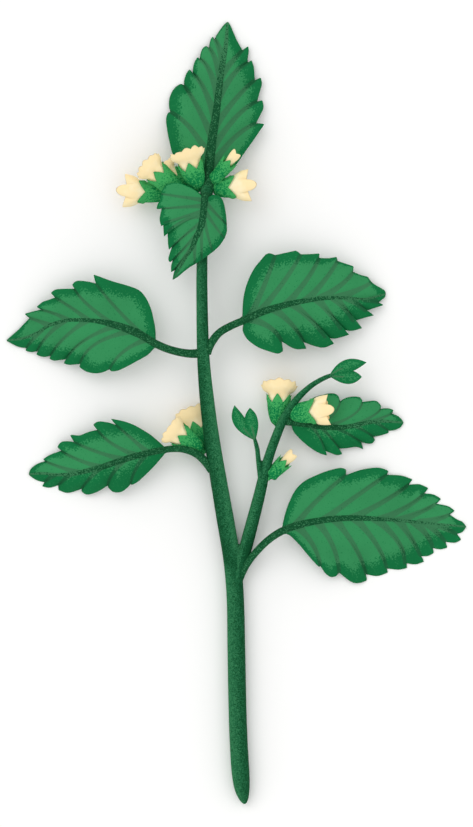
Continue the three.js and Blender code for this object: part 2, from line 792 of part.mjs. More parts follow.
function calyxGeometry(bloom, length) {
  const { teeth, firstTooth } = KINDS[bloom.kind];
  const room = TUBE_RADIUS + SEAT_GAP;
  const width = (share) => Math.max(room + WALL, share * bloom.calyx);
  const notch = CALYX_NOTCH * length;
  const profile = [
    [0, -bloom.start, 0],
    [STALK_RADIUS, -bloom.start, 0],
    [STALK_RADIUS, -0.1, 0],
    [width(0.62), 0.25 * length, 0],
    [width(0.82), 0.48 * length, 0],
    [width(0.92), notch, 1],
    [width(0.92) - WALL, notch, 1],
    [room, 0.34 * length, 0],
    [0, 0.3 * length, 0],
  ];
  return cupGeometry(profile, 4 * teeth, firstTooth, (turn) => {
    const tip = lobe(turn, teeth);
    return { out: tip * TOOTH_SPREAD * bloom.calyx, up: tip * (length - notch) };
  });
}

function corollaGeometry(bloom, length) {
  const { petals, reach, kind } = bloom;
  const { lobes, sides, cut, lower } = KINDS[kind];
  const foot = 0.34 * length + SEAT_GAP;
  const notch = CALYX_NOTCH * length;
  const room = Math.max(0.92 * bloom.calyx - WALL - SEAT_GAP - 0.2, TUBE_RADIUS);
  const collar = room + 0.6 * TOOTH_SPREAD * bloom.calyx;
  const budProfile = [
    [0, foot, 0],
    [0.7 * TUBE_RADIUS, foot, 0],
    [0.85 * TUBE_RADIUS, notch, 0],
    [petals, length + 0.3 * reach, 0],
    [0.8 * petals, length + reach, 1],
    [0.45 * petals, length + 0.94 * reach, 1],
    [0, length + 0.3 * reach, 0],
  ];
  const openProfile = [
    [0, foot, 0],
    [0.7 * TUBE_RADIUS, foot, 0],
    [0.9 * TUBE_RADIUS, foot + 0.16 * length, 0],
    [room, notch + 0.2, 0],
    [collar, length + 0.1, 0],
    [lerp(collar, petals, 0.6), length + 0.45 * reach, 0.35],
    [petals, length + reach, 1],
    [petals - 0.6 * WALL, length + reach + 0.7 * WALL, 1],
    [lerp(collar, petals, 0.5) - WALL, length + 0.45 * reach + WALL, 0.35],
    [0.6 * collar, length + 0.2, 0],
    [0, length - 0.3, 0],
  ];
  const profile = kind === "bud" ? budProfile : openProfile;
  return cupGeometry(profile, sides, Math.PI / 2, (turn, angle) => {
    const tip = lobe(turn, lobes);
    const round = Math.sqrt(tip * (2 - tip));
    const short = (1 - round) * cut;
    const low = lower * (0.5 - 0.5 * Math.sin(angle));
    return { out: -short * 0.7 * petals, up: -(short + low) * reach };
  });
}

// The bloom's group stands at the foot of its calyx, with +Z along its axis and +Y as near up as it can be.
function bloomGroup(bloom, stemWithGap) {
  const root = new THREE.Vector3(...bloom.root);
  const mouth = new THREE.Vector3(...bloom.mouth);
  const axis = mouth.clone().sub(root).normalize();
  const aside = new THREE.Vector3(0, 0, 1).cross(axis).normalize();
  const group = new THREE.Group();
  group.quaternion.setFromRotationMatrix(
    new THREE.Matrix4().makeBasis(aside, axis.clone().cross(aside), axis),
  );
  group.position.copy(root).addScaledVector(axis, bloom.start);
  group.updateMatrix();
  const length = mouth.distanceTo(root) - bloom.start;
  const stemHere = stemWithGap.transform(group.matrix.clone().invert().elements);
  const parts = [
    ["calyx", calyxGeometry(bloom, length), COLOURS.calyx],
    ["corolla", corollaGeometry(bloom, length), COLOURS.petal],
  ];
  for (const [part, geometry, colour] of parts) {
    geometry.scale(1, bloom.flat, 1);
    const whole = solidOf(geometry);
    const solid = part === "calyx" ? largest(whole.subtract(stemHere)) : whole;
    group.add(piece(`${part}_${bloom.name}`, geometryOf(solid), colour, 0.6));
  }
  return group;
}

function largest(solid) {
  return solid.decompose().sort((a, b) => b.volume() - a.volume())[0];
}

// The sprig

const sprig = new THREE.Group();
sprig.name = "lemon_balm_sprig";
sprig.add(piece("stem", geometryOf(stemSolid(0)), COLOURS.stem, 0.7));

const stemWithGap = stemSolid(SEAT_GAP);
for (const leaf of LEAVES) {
  const solid = largest(leafSolid(leaf).subtract(stemWithGap));
  sprig.add(piece(leaf.name, geometryOf(solid), COLOURS.leaf, 0.65));
}
for (const pair of YOUNG_PAIRS) {
  const [first, second] = pair.leaves.map((leaf) => youngLeafSolid(pair.root, leaf));
  const solid = largest(first.add(second).subtract(stemWithGap));
  sprig.add(piece(pair.name, geometryOf(solid), COLOURS.youngLeaf, 0.65));
}
for (const bloom of BLOOMS) sprig.add(bloomGroup(bloom, stemWithGap));

const outline = new THREE.Box3().setFromObject(sprig, true);
const middle = outline.getCenter(new THREE.Vector3());
sprig.position.set(-middle.x, -middle.y, -outline.min.z);

export default sprig;
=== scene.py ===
"""A flowering sprig of lemon balm, cut from the plant and laid on a pale table: its finished surfaces.

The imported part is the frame. Each grown piece gets a finer mesh and a material of its own here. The
tables below are in millimetres in the plan of the sprig, and the scene is in metres.
"""

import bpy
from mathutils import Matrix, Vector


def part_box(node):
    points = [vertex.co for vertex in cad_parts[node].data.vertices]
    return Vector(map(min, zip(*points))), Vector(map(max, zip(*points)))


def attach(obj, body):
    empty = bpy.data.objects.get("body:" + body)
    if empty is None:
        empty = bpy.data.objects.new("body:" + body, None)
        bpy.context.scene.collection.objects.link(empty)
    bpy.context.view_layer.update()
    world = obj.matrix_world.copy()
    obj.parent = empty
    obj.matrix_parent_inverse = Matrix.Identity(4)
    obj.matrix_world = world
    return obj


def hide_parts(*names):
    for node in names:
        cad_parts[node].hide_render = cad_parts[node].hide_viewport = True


bl_info = {
    "name": "Lemon Balm Sprig",
    "version": (1, 0, 0),
    "blender": (4, 5, 0),
    "location": "3D View > Sidebar > Sprig",
    "description": "Finishes a cut, flowering sprig of lemon balm",
    "category": "Add Mesh",
}

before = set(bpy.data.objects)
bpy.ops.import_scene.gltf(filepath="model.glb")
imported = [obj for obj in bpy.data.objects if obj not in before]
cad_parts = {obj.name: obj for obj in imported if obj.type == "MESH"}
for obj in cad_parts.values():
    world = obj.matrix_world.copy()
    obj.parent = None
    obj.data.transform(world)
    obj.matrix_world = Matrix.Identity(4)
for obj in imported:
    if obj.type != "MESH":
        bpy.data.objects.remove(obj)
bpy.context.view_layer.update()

import math
from collections import namedtuple

import bmesh
import bpy
import numpy as np
from mathutils import Vector
from mathutils.kdtree import KDTree

MM = 0.001
BODY = "root"

# The picture's frame, in pixels, and what one pixel of it is on the table.
PICTURE_WIDTH = 473
PICTURE_HEIGHT = 827
PIXEL = 0.32 * MM
PLAN_ORIGIN = (237.0, 413.75)  # the pixel that is the origin of the tables

# A centre line is a list of (x, y, height above the table, radius), from its root to its end.
MAIN_STEM = [
    (2.6, -125.0, 2.3, 0.4),
    (2.3, -123.7, 2.4, 1.4),
    (1.7, -120.4, 2.7, 2.5),
    (1.2, -115.6, 2.86, 3.0),
    (0.5, -104.4, 2.88, 3.06),
    (0.1, -91.6, 2.88, 3.06),
    (-0.2, -75.6, 2.88, 3.04),
    (-0.6, -58.0, 3.0, 2.95),
    (-1.6, -46.8, 3.4, 2.95),
    (-3.7, -34.0, 4.3, 2.95),
    (-5.9, -21.2, 5.3, 2.8),
    (-8.0, -8.4, 6.5, 2.65),
    (-9.6, 4.4, 7.6, 2.45),
    (-10.7, 17.2, 8.6, 2.15),
    (-11.1, 31.0, 9.4, 1.98),
    (-11.2, 46.0, 10.0, 1.87),
    (-10.8, 58.0, 10.3, 1.7),
    (-10.0, 67.4, 10.4, 1.6),
    (-9.8, 69.8, 10.4, 2.1),
    (-9.6, 72.2, 10.3, 1.95),
    (-9.5, 73.4, 10.2, 0.9),
]
SIDE_BRANCH = [
    (0.6, -52.4, 3.5, 1.8),
    (3.1, -41.7, 4.0, 2.2),
    (5.1, -34.0, 4.7, 2.15),
    (7.1, -26.3, 5.5, 2.0),
    (8.7, -19.4, 6.2, 1.8),
    (10.3, -13.5, 6.9, 1.65),
    (12.1, -8.4, 7.4, 1.6),
    (14.4, -2.8, 8.1, 1.5),
    (16.6, 1.2, 8.6, 1.35),
    (19.0, 4.5, 9.0, 1.2),
    (21.4, 7.0, 9.3, 1.05),
    (24.6, 9.6, 9.6, 0.9),
    (29.0, 11.9, 10.0, 0.78),
    (31.0, 12.5, 10.0, 0.6),
]
TWIG = [
    (8.2, -24.0, 5.9, 1.2),
    (7.3, -18.0, 6.9, 1.0),
    (6.8, -14.4, 7.6, 0.85),
    (6.5, -11.4, 8.2, 0.8),
    (6.0, -9.4, 8.5, 0.72),
    (5.4, -7.2, 8.7, 0.5),
]

# A side of a blade runs from its base to the leaf's tip. arc holds the points that a tooth's outer edge
# passes on the way to its tip, and notch is where its short edge ends. The side vein to the notch starts near
# root, on the midrib, and bow is how far it bends forward halfway, as a share of its length. heights are an
# edge's heights above the table and shade the widths of the painted shade along its margin, both spaced
# evenly over its teeth.
Tooth = namedtuple("Tooth", "arc tip notch root bow")
Edge = namedtuple("Edge", "base teeth last_arc heights shade")

# petiole and midrib hold (x, y, height above the table), and midrib ends at the leaf's tip. rib_radii begins
# with the radius of the petiole at the stem, and the others are spaced evenly along the blade. vein_width is
# about the half width of a side vein halfway to the margin.
Leaf = namedtuple("Leaf", "node vein_width rib_radii petiole midrib edges")

LOWER_RIGHT_LEAF = Leaf(
    node="leaf_lower_right",
    vein_width=0.75,
    rib_radii=[1.1, 1.25, 1.0, 0.9, 0.5, 0.4, 0.3],
    petiole=[(-0.4, -55.6, 3.4), (2.8, -48.7, 4.6), (6.4, -43.9, 6.0), (10.6, -39.9, 7.0)],
    midrib=[
        (15.0, -37.2, 7.4), (20.0, -35.5, 7.4), (25.0, -34.4, 7.2), (30.0, -33.7, 6.7), (35.0, -33.4, 6.0),
        (40.0, -33.4, 5.1), (50.0, -34.0, 3.2), (60.0, -34.9, 1.5), (73.5, -36.2, 0.5),
    ],
    edges=[
        Edge(
            base=(14.4, -36.2),
            teeth=[
                Tooth(
                    [(15.0, -33.4), (16.0, -30.0), (17.1, -27.3), (18.2, -25.1), (20.0, -22.8),
                     (22.1, -21.2), (24.8, -19.9), (27.5, -18.75), (30.0, -17.95), (33.5, -17.3)],
                    (34.95, -17.8), (34.9, -19.6), (18.4, -35.6), -0.07,
                ),
                Tooth([(40.0, -17.85), (45.7, -17.3)], (48.6, -18.3), (48.0, -19.55), (27.5, -34.1), -0.01),
                Tooth([(52.6, -19.8)], (56.3, -21.0), (55.0, -22.7), (36.5, -33.4), 0.06),
                Tooth([(58.5, -22.6)], (61.35, -23.8), (60.05, -25.5), (46.0, -33.8), 0.09),
                Tooth([(63.05, -25.9)], (65.45, -27.3), (63.9, -28.8), (51.5, -34.2), 0.06),
                Tooth([(67.85, -29.7)], (69.8, -31.1), (68.15, -32.25), (58.5, -34.7), 0.1),
            ],
            last_arc=[(70.7, -33.95), (72.3, -34.65)],
            heights=[7.0, 2.6, 0.4, -0.6, -1.0, -1.0, 0.4],
            shade=[2.6, 4.6, 4.8, 6.0, 4.4, 0.8, 0.4, 0.4, 5.0],
        ),
        Edge(
            base=(15.7, -38.4),
            teeth=[
                Tooth(
                    [(16.95, -39.0), (18.2, -40.1), (20.0, -42.0), (21.75, -44.1), (23.35, -46.0),
                     (24.8, -47.6)],
                    (26.2, -49.05), (26.65, -48.75), (19.0, -35.9), 0.1,
                ),
                Tooth([(28.5, -51.3), (30.0, -52.3)], (31.7, -52.1), (32.7, -50.9), (25.5, -34.9), 0.09),
                Tooth([(36.8, -53.95), (39.0, -54.3)], (41.7, -53.4), (41.3, -51.45), (31.0, -34.0), 0.07),
                Tooth([(45.0, -52.0)], (48.4, -50.9), (48.0, -49.6), (37.5, -33.8), 0.085),
                Tooth([(52.15, -49.95)], (54.6, -49.4), (53.6, -47.8), (44.0, -34.1), 0.155),
                Tooth([(57.25, -48.25)], (60.0, -47.4), (58.8, -45.6), (51.5, -34.3), 0.045),
                Tooth([(61.2, -45.6)], (63.1, -44.6), (62.7, -43.05), (56.5, -34.7), 0.115),
                Tooth([(65.2, -43.45)], (67.45, -42.9), (66.8, -41.05), (60.5, -34.9), 0.04),
                Tooth([(70.05, -41.3)], (71.9, -40.3), (70.5, -38.55), (63.0, -35.0), 0.02),
            ],
            last_arc=[(72.3, -37.85)],
            heights=[7.0, 3.6, 0.8, -1.4, -2.6, -2.6, -1.8, -1.0, 0.4],
            shade=[1.6, 2.6, 5.0, 6.0, 6.0, 6.0, 6.0, 6.0, 6.0, 6.0, 5.0],
        ),
    ],
)

UPPER_RIGHT_LEAF = Leaf(
    node="leaf_upper_right",
    vein_width=0.75,
    rib_radii=[1.25, 1.2, 1.1, 0.8, 0.6, 0.38, 0.3],
    petiole=[(-10.0, 19.0, 8.8), (-8.6, 22.0, 9.6), (-5.7, 25.8, 10.6), (-1.6, 28.2, 11.2)],
    midrib=[
        (2.0, 29.75, 11.3), (7.5, 32.25, 11.1), (12.5, 33.9, 10.7), (17.5, 35.25, 10.0), (22.5, 36.2, 9.1),
        (27.5, 36.9, 7.9), (35.0, 37.05, 5.4), (41.0, 36.8, 3.0), (47.7, 38.3, 0.6),
    ],
    edges=[
        Edge(
            base=(1.7, 31.2),
            teeth=[
                Tooth(
                    [(1.75, 33.1), (1.85, 35.1), (2.1, 37.4), (2.7, 40.05), (3.7, 42.95), (5.0, 45.6),
                     (6.5, 47.8), (8.1, 49.65), (9.2, 50.95)],
                    (10.4, 51.4), (12.2, 50.7), (3.8, 31.0), 0.03,
                ),
                Tooth([(16.2, 51.6)], (18.9, 52.2), (20.45, 51.0), (6.5, 32.0), 0.06),
                Tooth([(23.3, 51.05)], (26.4, 51.3), (26.3, 49.85), (15.5, 34.9), 0.07),
                Tooth([(29.0, 49.75)], (31.9, 50.2), (32.2, 48.9), (22.0, 36.1), 0.055),
                Tooth([(34.8, 48.0)], (37.35, 47.2), (37.2, 45.4), (26.5, 36.8), 0.11),
                Tooth([(39.9, 44.35)], (41.9, 43.9), (43.1, 42.15), (31.5, 37.1), 0.1),
            ],
            last_arc=[(44.4, 41.2), (46.2, 40.2), (47.4, 39.4)],
            heights=[11.0, 8.4, 6.6, 5.8, 4.8, 2.8, 0.5],
            shade=[4.6, 6.0, 4.6, 3.6, 0.8, 0.3, 0.5, 6.0],
        ),
        Edge(
            base=(2.0, 28.4),
            teeth=[
                Tooth(
                    [(1.7, 27.0), (2.1, 25.65), (3.15, 23.9), (5.0, 22.3), (7.2, 21.0), (9.7, 20.05),
                     (11.9, 19.4), (13.3, 19.15)],
                    (14.8, 20.0), (14.3, 23.05), (3.4, 30.5), 0.14,
                ),
                Tooth([(18.6, 20.7)], (22.3, 20.8), (21.2, 22.95), (11.5, 33.4), 0.08),
                Tooth([(25.0, 21.55), (27.85, 21.15)], (31.2, 22.5), (28.1, 24.55), (17.5, 35.1), 0.05),
                Tooth([(31.05, 24.0)], (36.0, 25.3), (33.2, 27.1), (25.5, 36.5), 0.03),
                Tooth([(36.6, 26.5)], (40.15, 27.4), (37.1, 29.6), (31.0, 37.0), 0.06),
                Tooth([(39.8, 30.4)], (43.95, 31.5), (41.15, 32.85), (35.5, 37.0), 0.05),
                Tooth([(44.4, 33.95)], (47.0, 34.8), (45.45, 35.65), (41.0, 36.85), 0.0),
            ],
            last_arc=[(46.5, 36.6), (47.4, 37.3)],
            heights=[11.0, 7.6, 5.4, 4.6, 4.0, 2.6, 0.5],
            shade=[4.0, 6.4, 7.0, 7.0, 7.0, 7.0, 6.4, 5.6],
        ),
    ],
)

UPPER_LEFT_LEAF = Leaf(
    node="leaf_upper_left",
    vein_width=0.52,
    rib_radii=[1.25, 1.25, 1.2, 0.62, 0.56, 0.5, 0.3],
    petiole=[(-10.6, 19.4, 8.8), (-15.0, 19.2, 9.6), (-18.9, 19.8, 10.3), (-22.7, 20.9, 10.7)],
    midrib=[
        (-25.9, 22.35, 10.8), (-30.0, 24.75, 10.7), (-35.0, 26.95, 10.3), (-40.0, 28.55, 9.7),
        (-45.0, 29.6, 8.7), (-50.0, 30.0, 7.3), (-55.0, 29.75, 5.7), (-60.0, 28.25, 4.1),
        (-64.0, 25.9, 2.8), (-68.5, 24.2, 1.5), (-74.0, 23.45, 0.5),
    ],
    edges=[
        Edge(
            base=(-25.9, 23.7),
            teeth=[
                Tooth(
                    [(-26.1, 27.45), (-26.6, 30.05), (-27.2, 32.7), (-28.1, 35.15), (-29.1, 37.05),
                     (-31.1, 39.35), (-34.2, 40.7), (-36.5, 41.4), (-40.0, 42.4), (-42.6, 43.35)],
                    (-45.9, 44.55), (-45.2, 41.7), (-29.5, 24.5), 0.065,
                ),
                Tooth([(-47.9, 42.3), (-51.4, 42.45)], (-52.8, 41.3), (-52.0, 40.0), (-39.0, 28.5), 0.12),
                Tooth([(-55.8, 39.95), (-58.2, 39.7)], (-59.6, 38.7), (-58.3, 37.2), (-47.5, 30.0), -0.04),
                Tooth(
                    [(-60.0, 36.55), (-62.1, 35.85)],
                    (-64.2, 34.2), (-62.8, 33.35), (-54.0, 30.0), -0.09,
                ),
                Tooth([(-65.0, 32.85)], (-68.1, 32.0), (-66.5, 30.6), (-60.0, 28.3), -0.03),
            ],
            last_arc=[(-68.2, 28.85), (-70.0, 26.95), (-71.7, 25.5)],
            heights=[10.6, 7.4, 5.6, 4.6, 3.2, 1.2, 0.4],
            shade=[4.0, 6.6, 4.0, 3.6, 2.2, 0.4, 0.4, 5.2],
        ),
        Edge(
            base=(-26.3, 21.0),
            teeth=[
                Tooth(
                    [(-28.4, 18.85), (-30.0, 17.85), (-32.45, 16.55), (-35.0, 15.15), (-38.3, 13.7)],
                    (-40.2, 13.5), (-40.8, 14.15), (-28.3, 23.8), 0.115,
                ),
                Tooth(
                    [(-42.9, 13.25), (-45.5, 12.9), (-48.5, 13.6)],
                    (-50.5, 15.0), (-50.2, 15.95), (-33.5, 26.3), 0.17,
                ),
                Tooth([(-52.0, 15.75), (-54.0, 15.65)], (-55.6, 16.2), (-54.5, 17.45), (-38.5, 28.1), 0.12),
                Tooth([(-56.6, 17.2), (-58.8, 17.0)], (-60.1, 17.6), (-59.75, 18.5), (-47.8, 29.9), 0.085),
                Tooth([(-62.1, 18.2)], (-64.3, 18.9), (-63.9, 20.05), (-55.2, 29.6), 0.107),
                Tooth([(-66.0, 19.75)], (-67.8, 20.2), (-67.5, 21.0), (-62.6, 26.8), 0.06),
            ],
            last_arc=[(-70.0, 21.4), (-71.7, 22.2)],
            heights=[10.6, 6.6, 4.0, 2.4, 1.2, 0.4, 0.4],
            shade=[2.6, 4.6, 5.0, 5.2, 5.2, 5.2, 5.2, 5.0],
        ),
    ],
)

LOWER_LEFT_LEAF = Leaf(
    node="leaf_lower_left",
    vein_width=0.52,
    rib_radii=[1.3, 1.05, 1.0, 0.95, 0.75, 0.5, 0.3],
    petiole=[
        (-7.6, -18.2, 5.4), (-10.6, -14.8, 6.8), (-13.4, -12.6, 8.4), (-17.3, -11.3, 8.8),
        (-20.5, -11.2, 8.4),
    ],
    midrib=[
        (-23.2, -11.5, 8.0), (-27.5, -12.3, 7.9), (-32.5, -13.55, 7.5), (-37.5, -15.05, 6.8),
        (-42.5, -16.75, 5.9), (-47.5, -18.1, 4.8), (-52.5, -19.2, 3.4), (-57.5, -19.5, 2.1),
        (-62.0, -19.1, 1.2), (-66.8, -19.4, 0.5),
    ],
    edges=[
        Edge(
            base=(-23.2, -10.5),
            teeth=[
                Tooth(
                    [(-25.0, -8.9), (-27.5, -6.8), (-30.0, -5.2), (-32.5, -3.8), (-35.0, -2.75),
                     (-37.45, -2.1)],
                    (-40.4, -1.6), (-38.8, -3.5), (-28.3, -12.4), 0.0,
                ),
                Tooth([(-41.6, -2.7), (-44.6, -2.5)], (-46.1, -3.5), (-44.5, -5.1), (-31.8, -13.4), 0.11),
                Tooth(
                    [(-47.7, -5.85), (-50.5, -6.95), (-52.3, -6.75)],
                    (-53.5, -6.8), (-52.2, -9.0), (-36.0, -14.6), 0.056,
                ),
                Tooth(
                    [(-54.2, -8.75), (-56.4, -9.1)],
                    (-57.6, -10.7), (-56.3, -11.8), (-43.5, -17.0), 0.07,
                ),
                Tooth([(-60.0, -13.2)], (-62.2, -14.6), (-61.45, -15.2), (-50.5, -18.7), 0.04),
            ],
            last_arc=[(-64.0, -16.05), (-66.1, -17.7)],
            heights=[7.8, 6.0, 4.4, 3.2, 1.6, 0.4, 0.4],
            shade=[4.6, 5.2, 4.6, 3.8, 3.4, 0.5, 4.0],
        ),
        Edge(
            base=(-22.9, -12.6),
            teeth=[
                Tooth(
                    [(-25.0, -15.1), (-27.5, -17.85), (-30.0, -20.25), (-31.4, -21.55), (-32.65, -22.35)],
                    (-33.7, -22.8), (-34.0, -22.5), (-28.8, -12.6), 0.095,
                ),
                Tooth(
                    [(-35.0, -23.6), (-37.0, -25.0), (-39.6, -25.05)],
                    (-41.2, -23.7), (-41.4, -23.0), (-35.6, -14.6), 0.12,
                ),
                Tooth(
                    [(-45.0, -25.15), (-48.2, -25.9)],
                    (-49.8, -25.0), (-49.8, -24.05), (-43.3, -17.0), 0.056,
                ),
                Tooth(
                    [(-51.5, -24.7), (-54.5, -25.35)],
                    (-57.2, -24.5), (-57.3, -22.9), (-53.2, -19.4), 0.0,
                ),
                Tooth([(-60.0, -23.7)], (-62.5, -23.3), (-61.7, -21.95), (-58.5, -19.4), 0.0),
            ],
            last_arc=[(-63.7, -21.5), (-66.1, -20.1)],
            heights=[7.8, 5.0, 2.4, 0.8, -0.4, -0.4, 0.4],
            shade=[7.0, 9.0, 9.0, 9.0, 8.0, 7.0, 4.6],
        ),
    ],
)

BRANCH_LEAF = Leaf(
    node="leaf_branch",
    vein_width=0.38,
    rib_radii=[1.3, 1.1, 1.05, 0.8, 0.75, 0.5, 0.3],
    petiole=[(14.4, -1.9, 7.9), (16.4, -2.4, 7.4)],
    midrib=[
        (18.2, -2.8, 7.0), (22.5, -3.35, 6.6), (27.5, -4.05, 6.1), (32.5, -4.35, 5.3), (37.5, -3.75, 4.2),
        (41.0, -2.95, 3.3), (45.0, -2.35, 2.2), (49.0, -2.5, 1.2), (53.4, -2.8, 0.5),
    ],
    edges=[
        Edge(
            base=(18.0, -1.8),
            teeth=[
                Tooth(
                    [(19.5, 1.0), (22.0, 3.6), (25.0, 5.4), (27.5, 6.1), (29.5, 6.55), (31.3, 6.45),
                     (32.4, 5.75)],
                    (32.85, 4.6), (33.05, 4.05), (25.5, -3.7), 0.15,
                ),
                Tooth(
                    [(34.8, 5.1), (37.3, 5.55), (39.3, 5.3)],
                    (40.1, 4.4), (40.1, 3.75), (28.5, -3.7), 0.196,
                ),
                Tooth([(42.0, 4.05), (44.7, 4.1)], (46.2, 2.5), (46.0, 1.6), (37.0, -3.4), 0.17),
                Tooth([(48.5, 1.75)], (50.2, 1.2), (49.65, 0.05), (43.0, -2.6), 0.05),
            ],
            last_arc=[(51.7, -0.8), (52.9, -2.0)],
            heights=[6.8, 4.4, 3.4, 2.2, 1.0, 0.5],
            shade=[0.6, 0.5, 0.4, 0.4, 0.6, 4.6],
        ),
        Edge(
            base=(17.4, -3.9),
            teeth=[
                Tooth(
                    [(18.0, -5.6), (20.0, -7.95), (22.3, -10.0), (24.05, -11.3), (26.65, -12.75)],
                    (28.9, -13.4), (27.8, -11.7), (23.4, -3.8), 0.094,
                ),
                Tooth([(29.8, -12.5), (32.2, -13.3)], (33.8, -12.9), (32.8, -11.2), (26.6, -4.1), 0.03),
                Tooth([(35.2, -11.05), (38.3, -10.65)], (40.5, -11.4), (39.85, -9.1), (31.5, -4.4), 0.04),
                Tooth([(41.5, -9.55), (43.3, -9.5)], (44.3, -8.4), (43.7, -7.4), (37.5, -3.7), 0.03),
                Tooth([(46.45, -6.85)], (48.7, -6.1), (48.55, -5.45), (44.0, -2.3), 0.0),
            ],
            last_arc=[(50.5, -5.25), (52.3, -4.4), (53.1, -3.4)],
            heights=[6.8, 4.2, 2.2, 1.2, 0.6, 0.4, 0.5],
            shade=[8.0, 9.0, 9.0, 9.0, 8.0, 7.0, 5.0],
        ),
    ],
)

TOP_LEAF = Leaf(
    node="leaf_top",
    vein_width=0.8,
    rib_radii=[1.6, 1.6, 1.45, 1.15, 1.0, 0.8, 0.3],
    petiole=[(-9.6, 70.9, 10.2), (-9.1, 74.0, 9.4)],
    midrib=[
        (-8.95, 76.4, 8.3), (-8.75, 80.0, 7.6), (-8.25, 85.0, 6.9), (-7.6, 90.0, 6.4), (-6.85, 95.0, 5.9),
        (-6.2, 100.0, 5.3), (-5.6, 105.0, 4.7), (-4.95, 110.0, 3.8), (-4.1, 115.0, 2.7), (-3.6, 118.0, 1.9),
        (-3.0, 125.7, 0.5),
    ],
    edges=[
        Edge(
            base=(-10.3, 76.2),
            teeth=[
                Tooth(
                    [(-13.0, 77.0), (-16.5, 78.9), (-19.2, 81.2), (-20.7, 83.4), (-21.45, 86.3),
                     (-22.0, 88.7), (-22.4, 91.1), (-22.7, 93.3), (-22.6, 95.2)],
                    (-22.1, 96.4), (-21.4, 96.7), (-8.6, 81.6), 0.104,
                ),
                Tooth(
                    [(-21.8, 98.6), (-21.6, 101.2), (-20.3, 104.0), (-18.6, 105.45)],
                    (-17.8, 105.7), (-17.0, 105.25), (-8.0, 88.0), 0.044,
                ),
                Tooth(
                    [(-16.9, 106.9), (-16.1, 109.2)],
                    (-15.2, 110.4), (-14.2, 109.0), (-7.1, 94.0), 0.115,
                ),
                Tooth(
                    [(-14.1, 110.6), (-13.6, 112.7)],
                    (-12.6, 114.3), (-11.9, 113.5), (-6.2, 101.0), 0.166,
                ),
                Tooth([(-11.8, 114.8), (-11.1, 116.9)], (-10.0, 117.9), (-9.0, 117.3), (-5.3, 107.5), 0.11),
                Tooth([(-8.85, 118.3), (-8.4, 120.0)], (-7.8, 120.9), (-7.15, 119.9), (-4.6, 112.5), 0.1),
            ],
            last_arc=[(-6.9, 120.7), (-6.0, 122.15), (-5.0, 123.6), (-3.85, 124.95)],
            heights=[7.6, 0.6, 0.4, 1.4, 1.6, 1.0, 0.5],
            shade=[5.0, 5.4, 5.0, 2.4, 0.4, 0.3, 0.3, 1.0],
        ),
        Edge(
            base=(-7.5, 76.2),
            teeth=[
                Tooth(
                    [(-4.0, 77.2), (-1.75, 78.3), (0.0, 79.95), (1.6, 82.3), (3.05, 84.4), (5.0, 87.1),
                     (6.8, 89.75)],
                    (8.9, 92.8), (6.15, 93.0), (-8.8, 78.0), 0.11,
                ),
                Tooth([(7.3, 95.3), (8.5, 98.0)], (8.2, 100.4), (6.5, 100.05), (-8.1, 83.5), 0.12),
                Tooth([(7.3, 103.0), (8.0, 105.8)], (7.6, 107.7), (5.75, 106.85), (-7.3, 91.0), 0.074),
                Tooth([(5.6, 108.4), (5.4, 111.0)], (4.7, 113.3), (3.45, 112.3), (-6.1, 100.5), 0.14),
                Tooth([(3.45, 114.0), (3.8, 116.2)], (3.6, 117.8), (1.75, 116.45), (-5.1, 108.0), 0.02),
            ],
            last_arc=[(0.0, 119.6), (-1.2, 122.3), (-2.25, 124.7)],
            heights=[7.6, 3.0, 2.0, 1.8, 1.4, 0.9, 0.5],
            shade=[2.0, 3.0, 4.6, 5.4, 5.4, 5.0, 3.4],
        ),
    ],
)

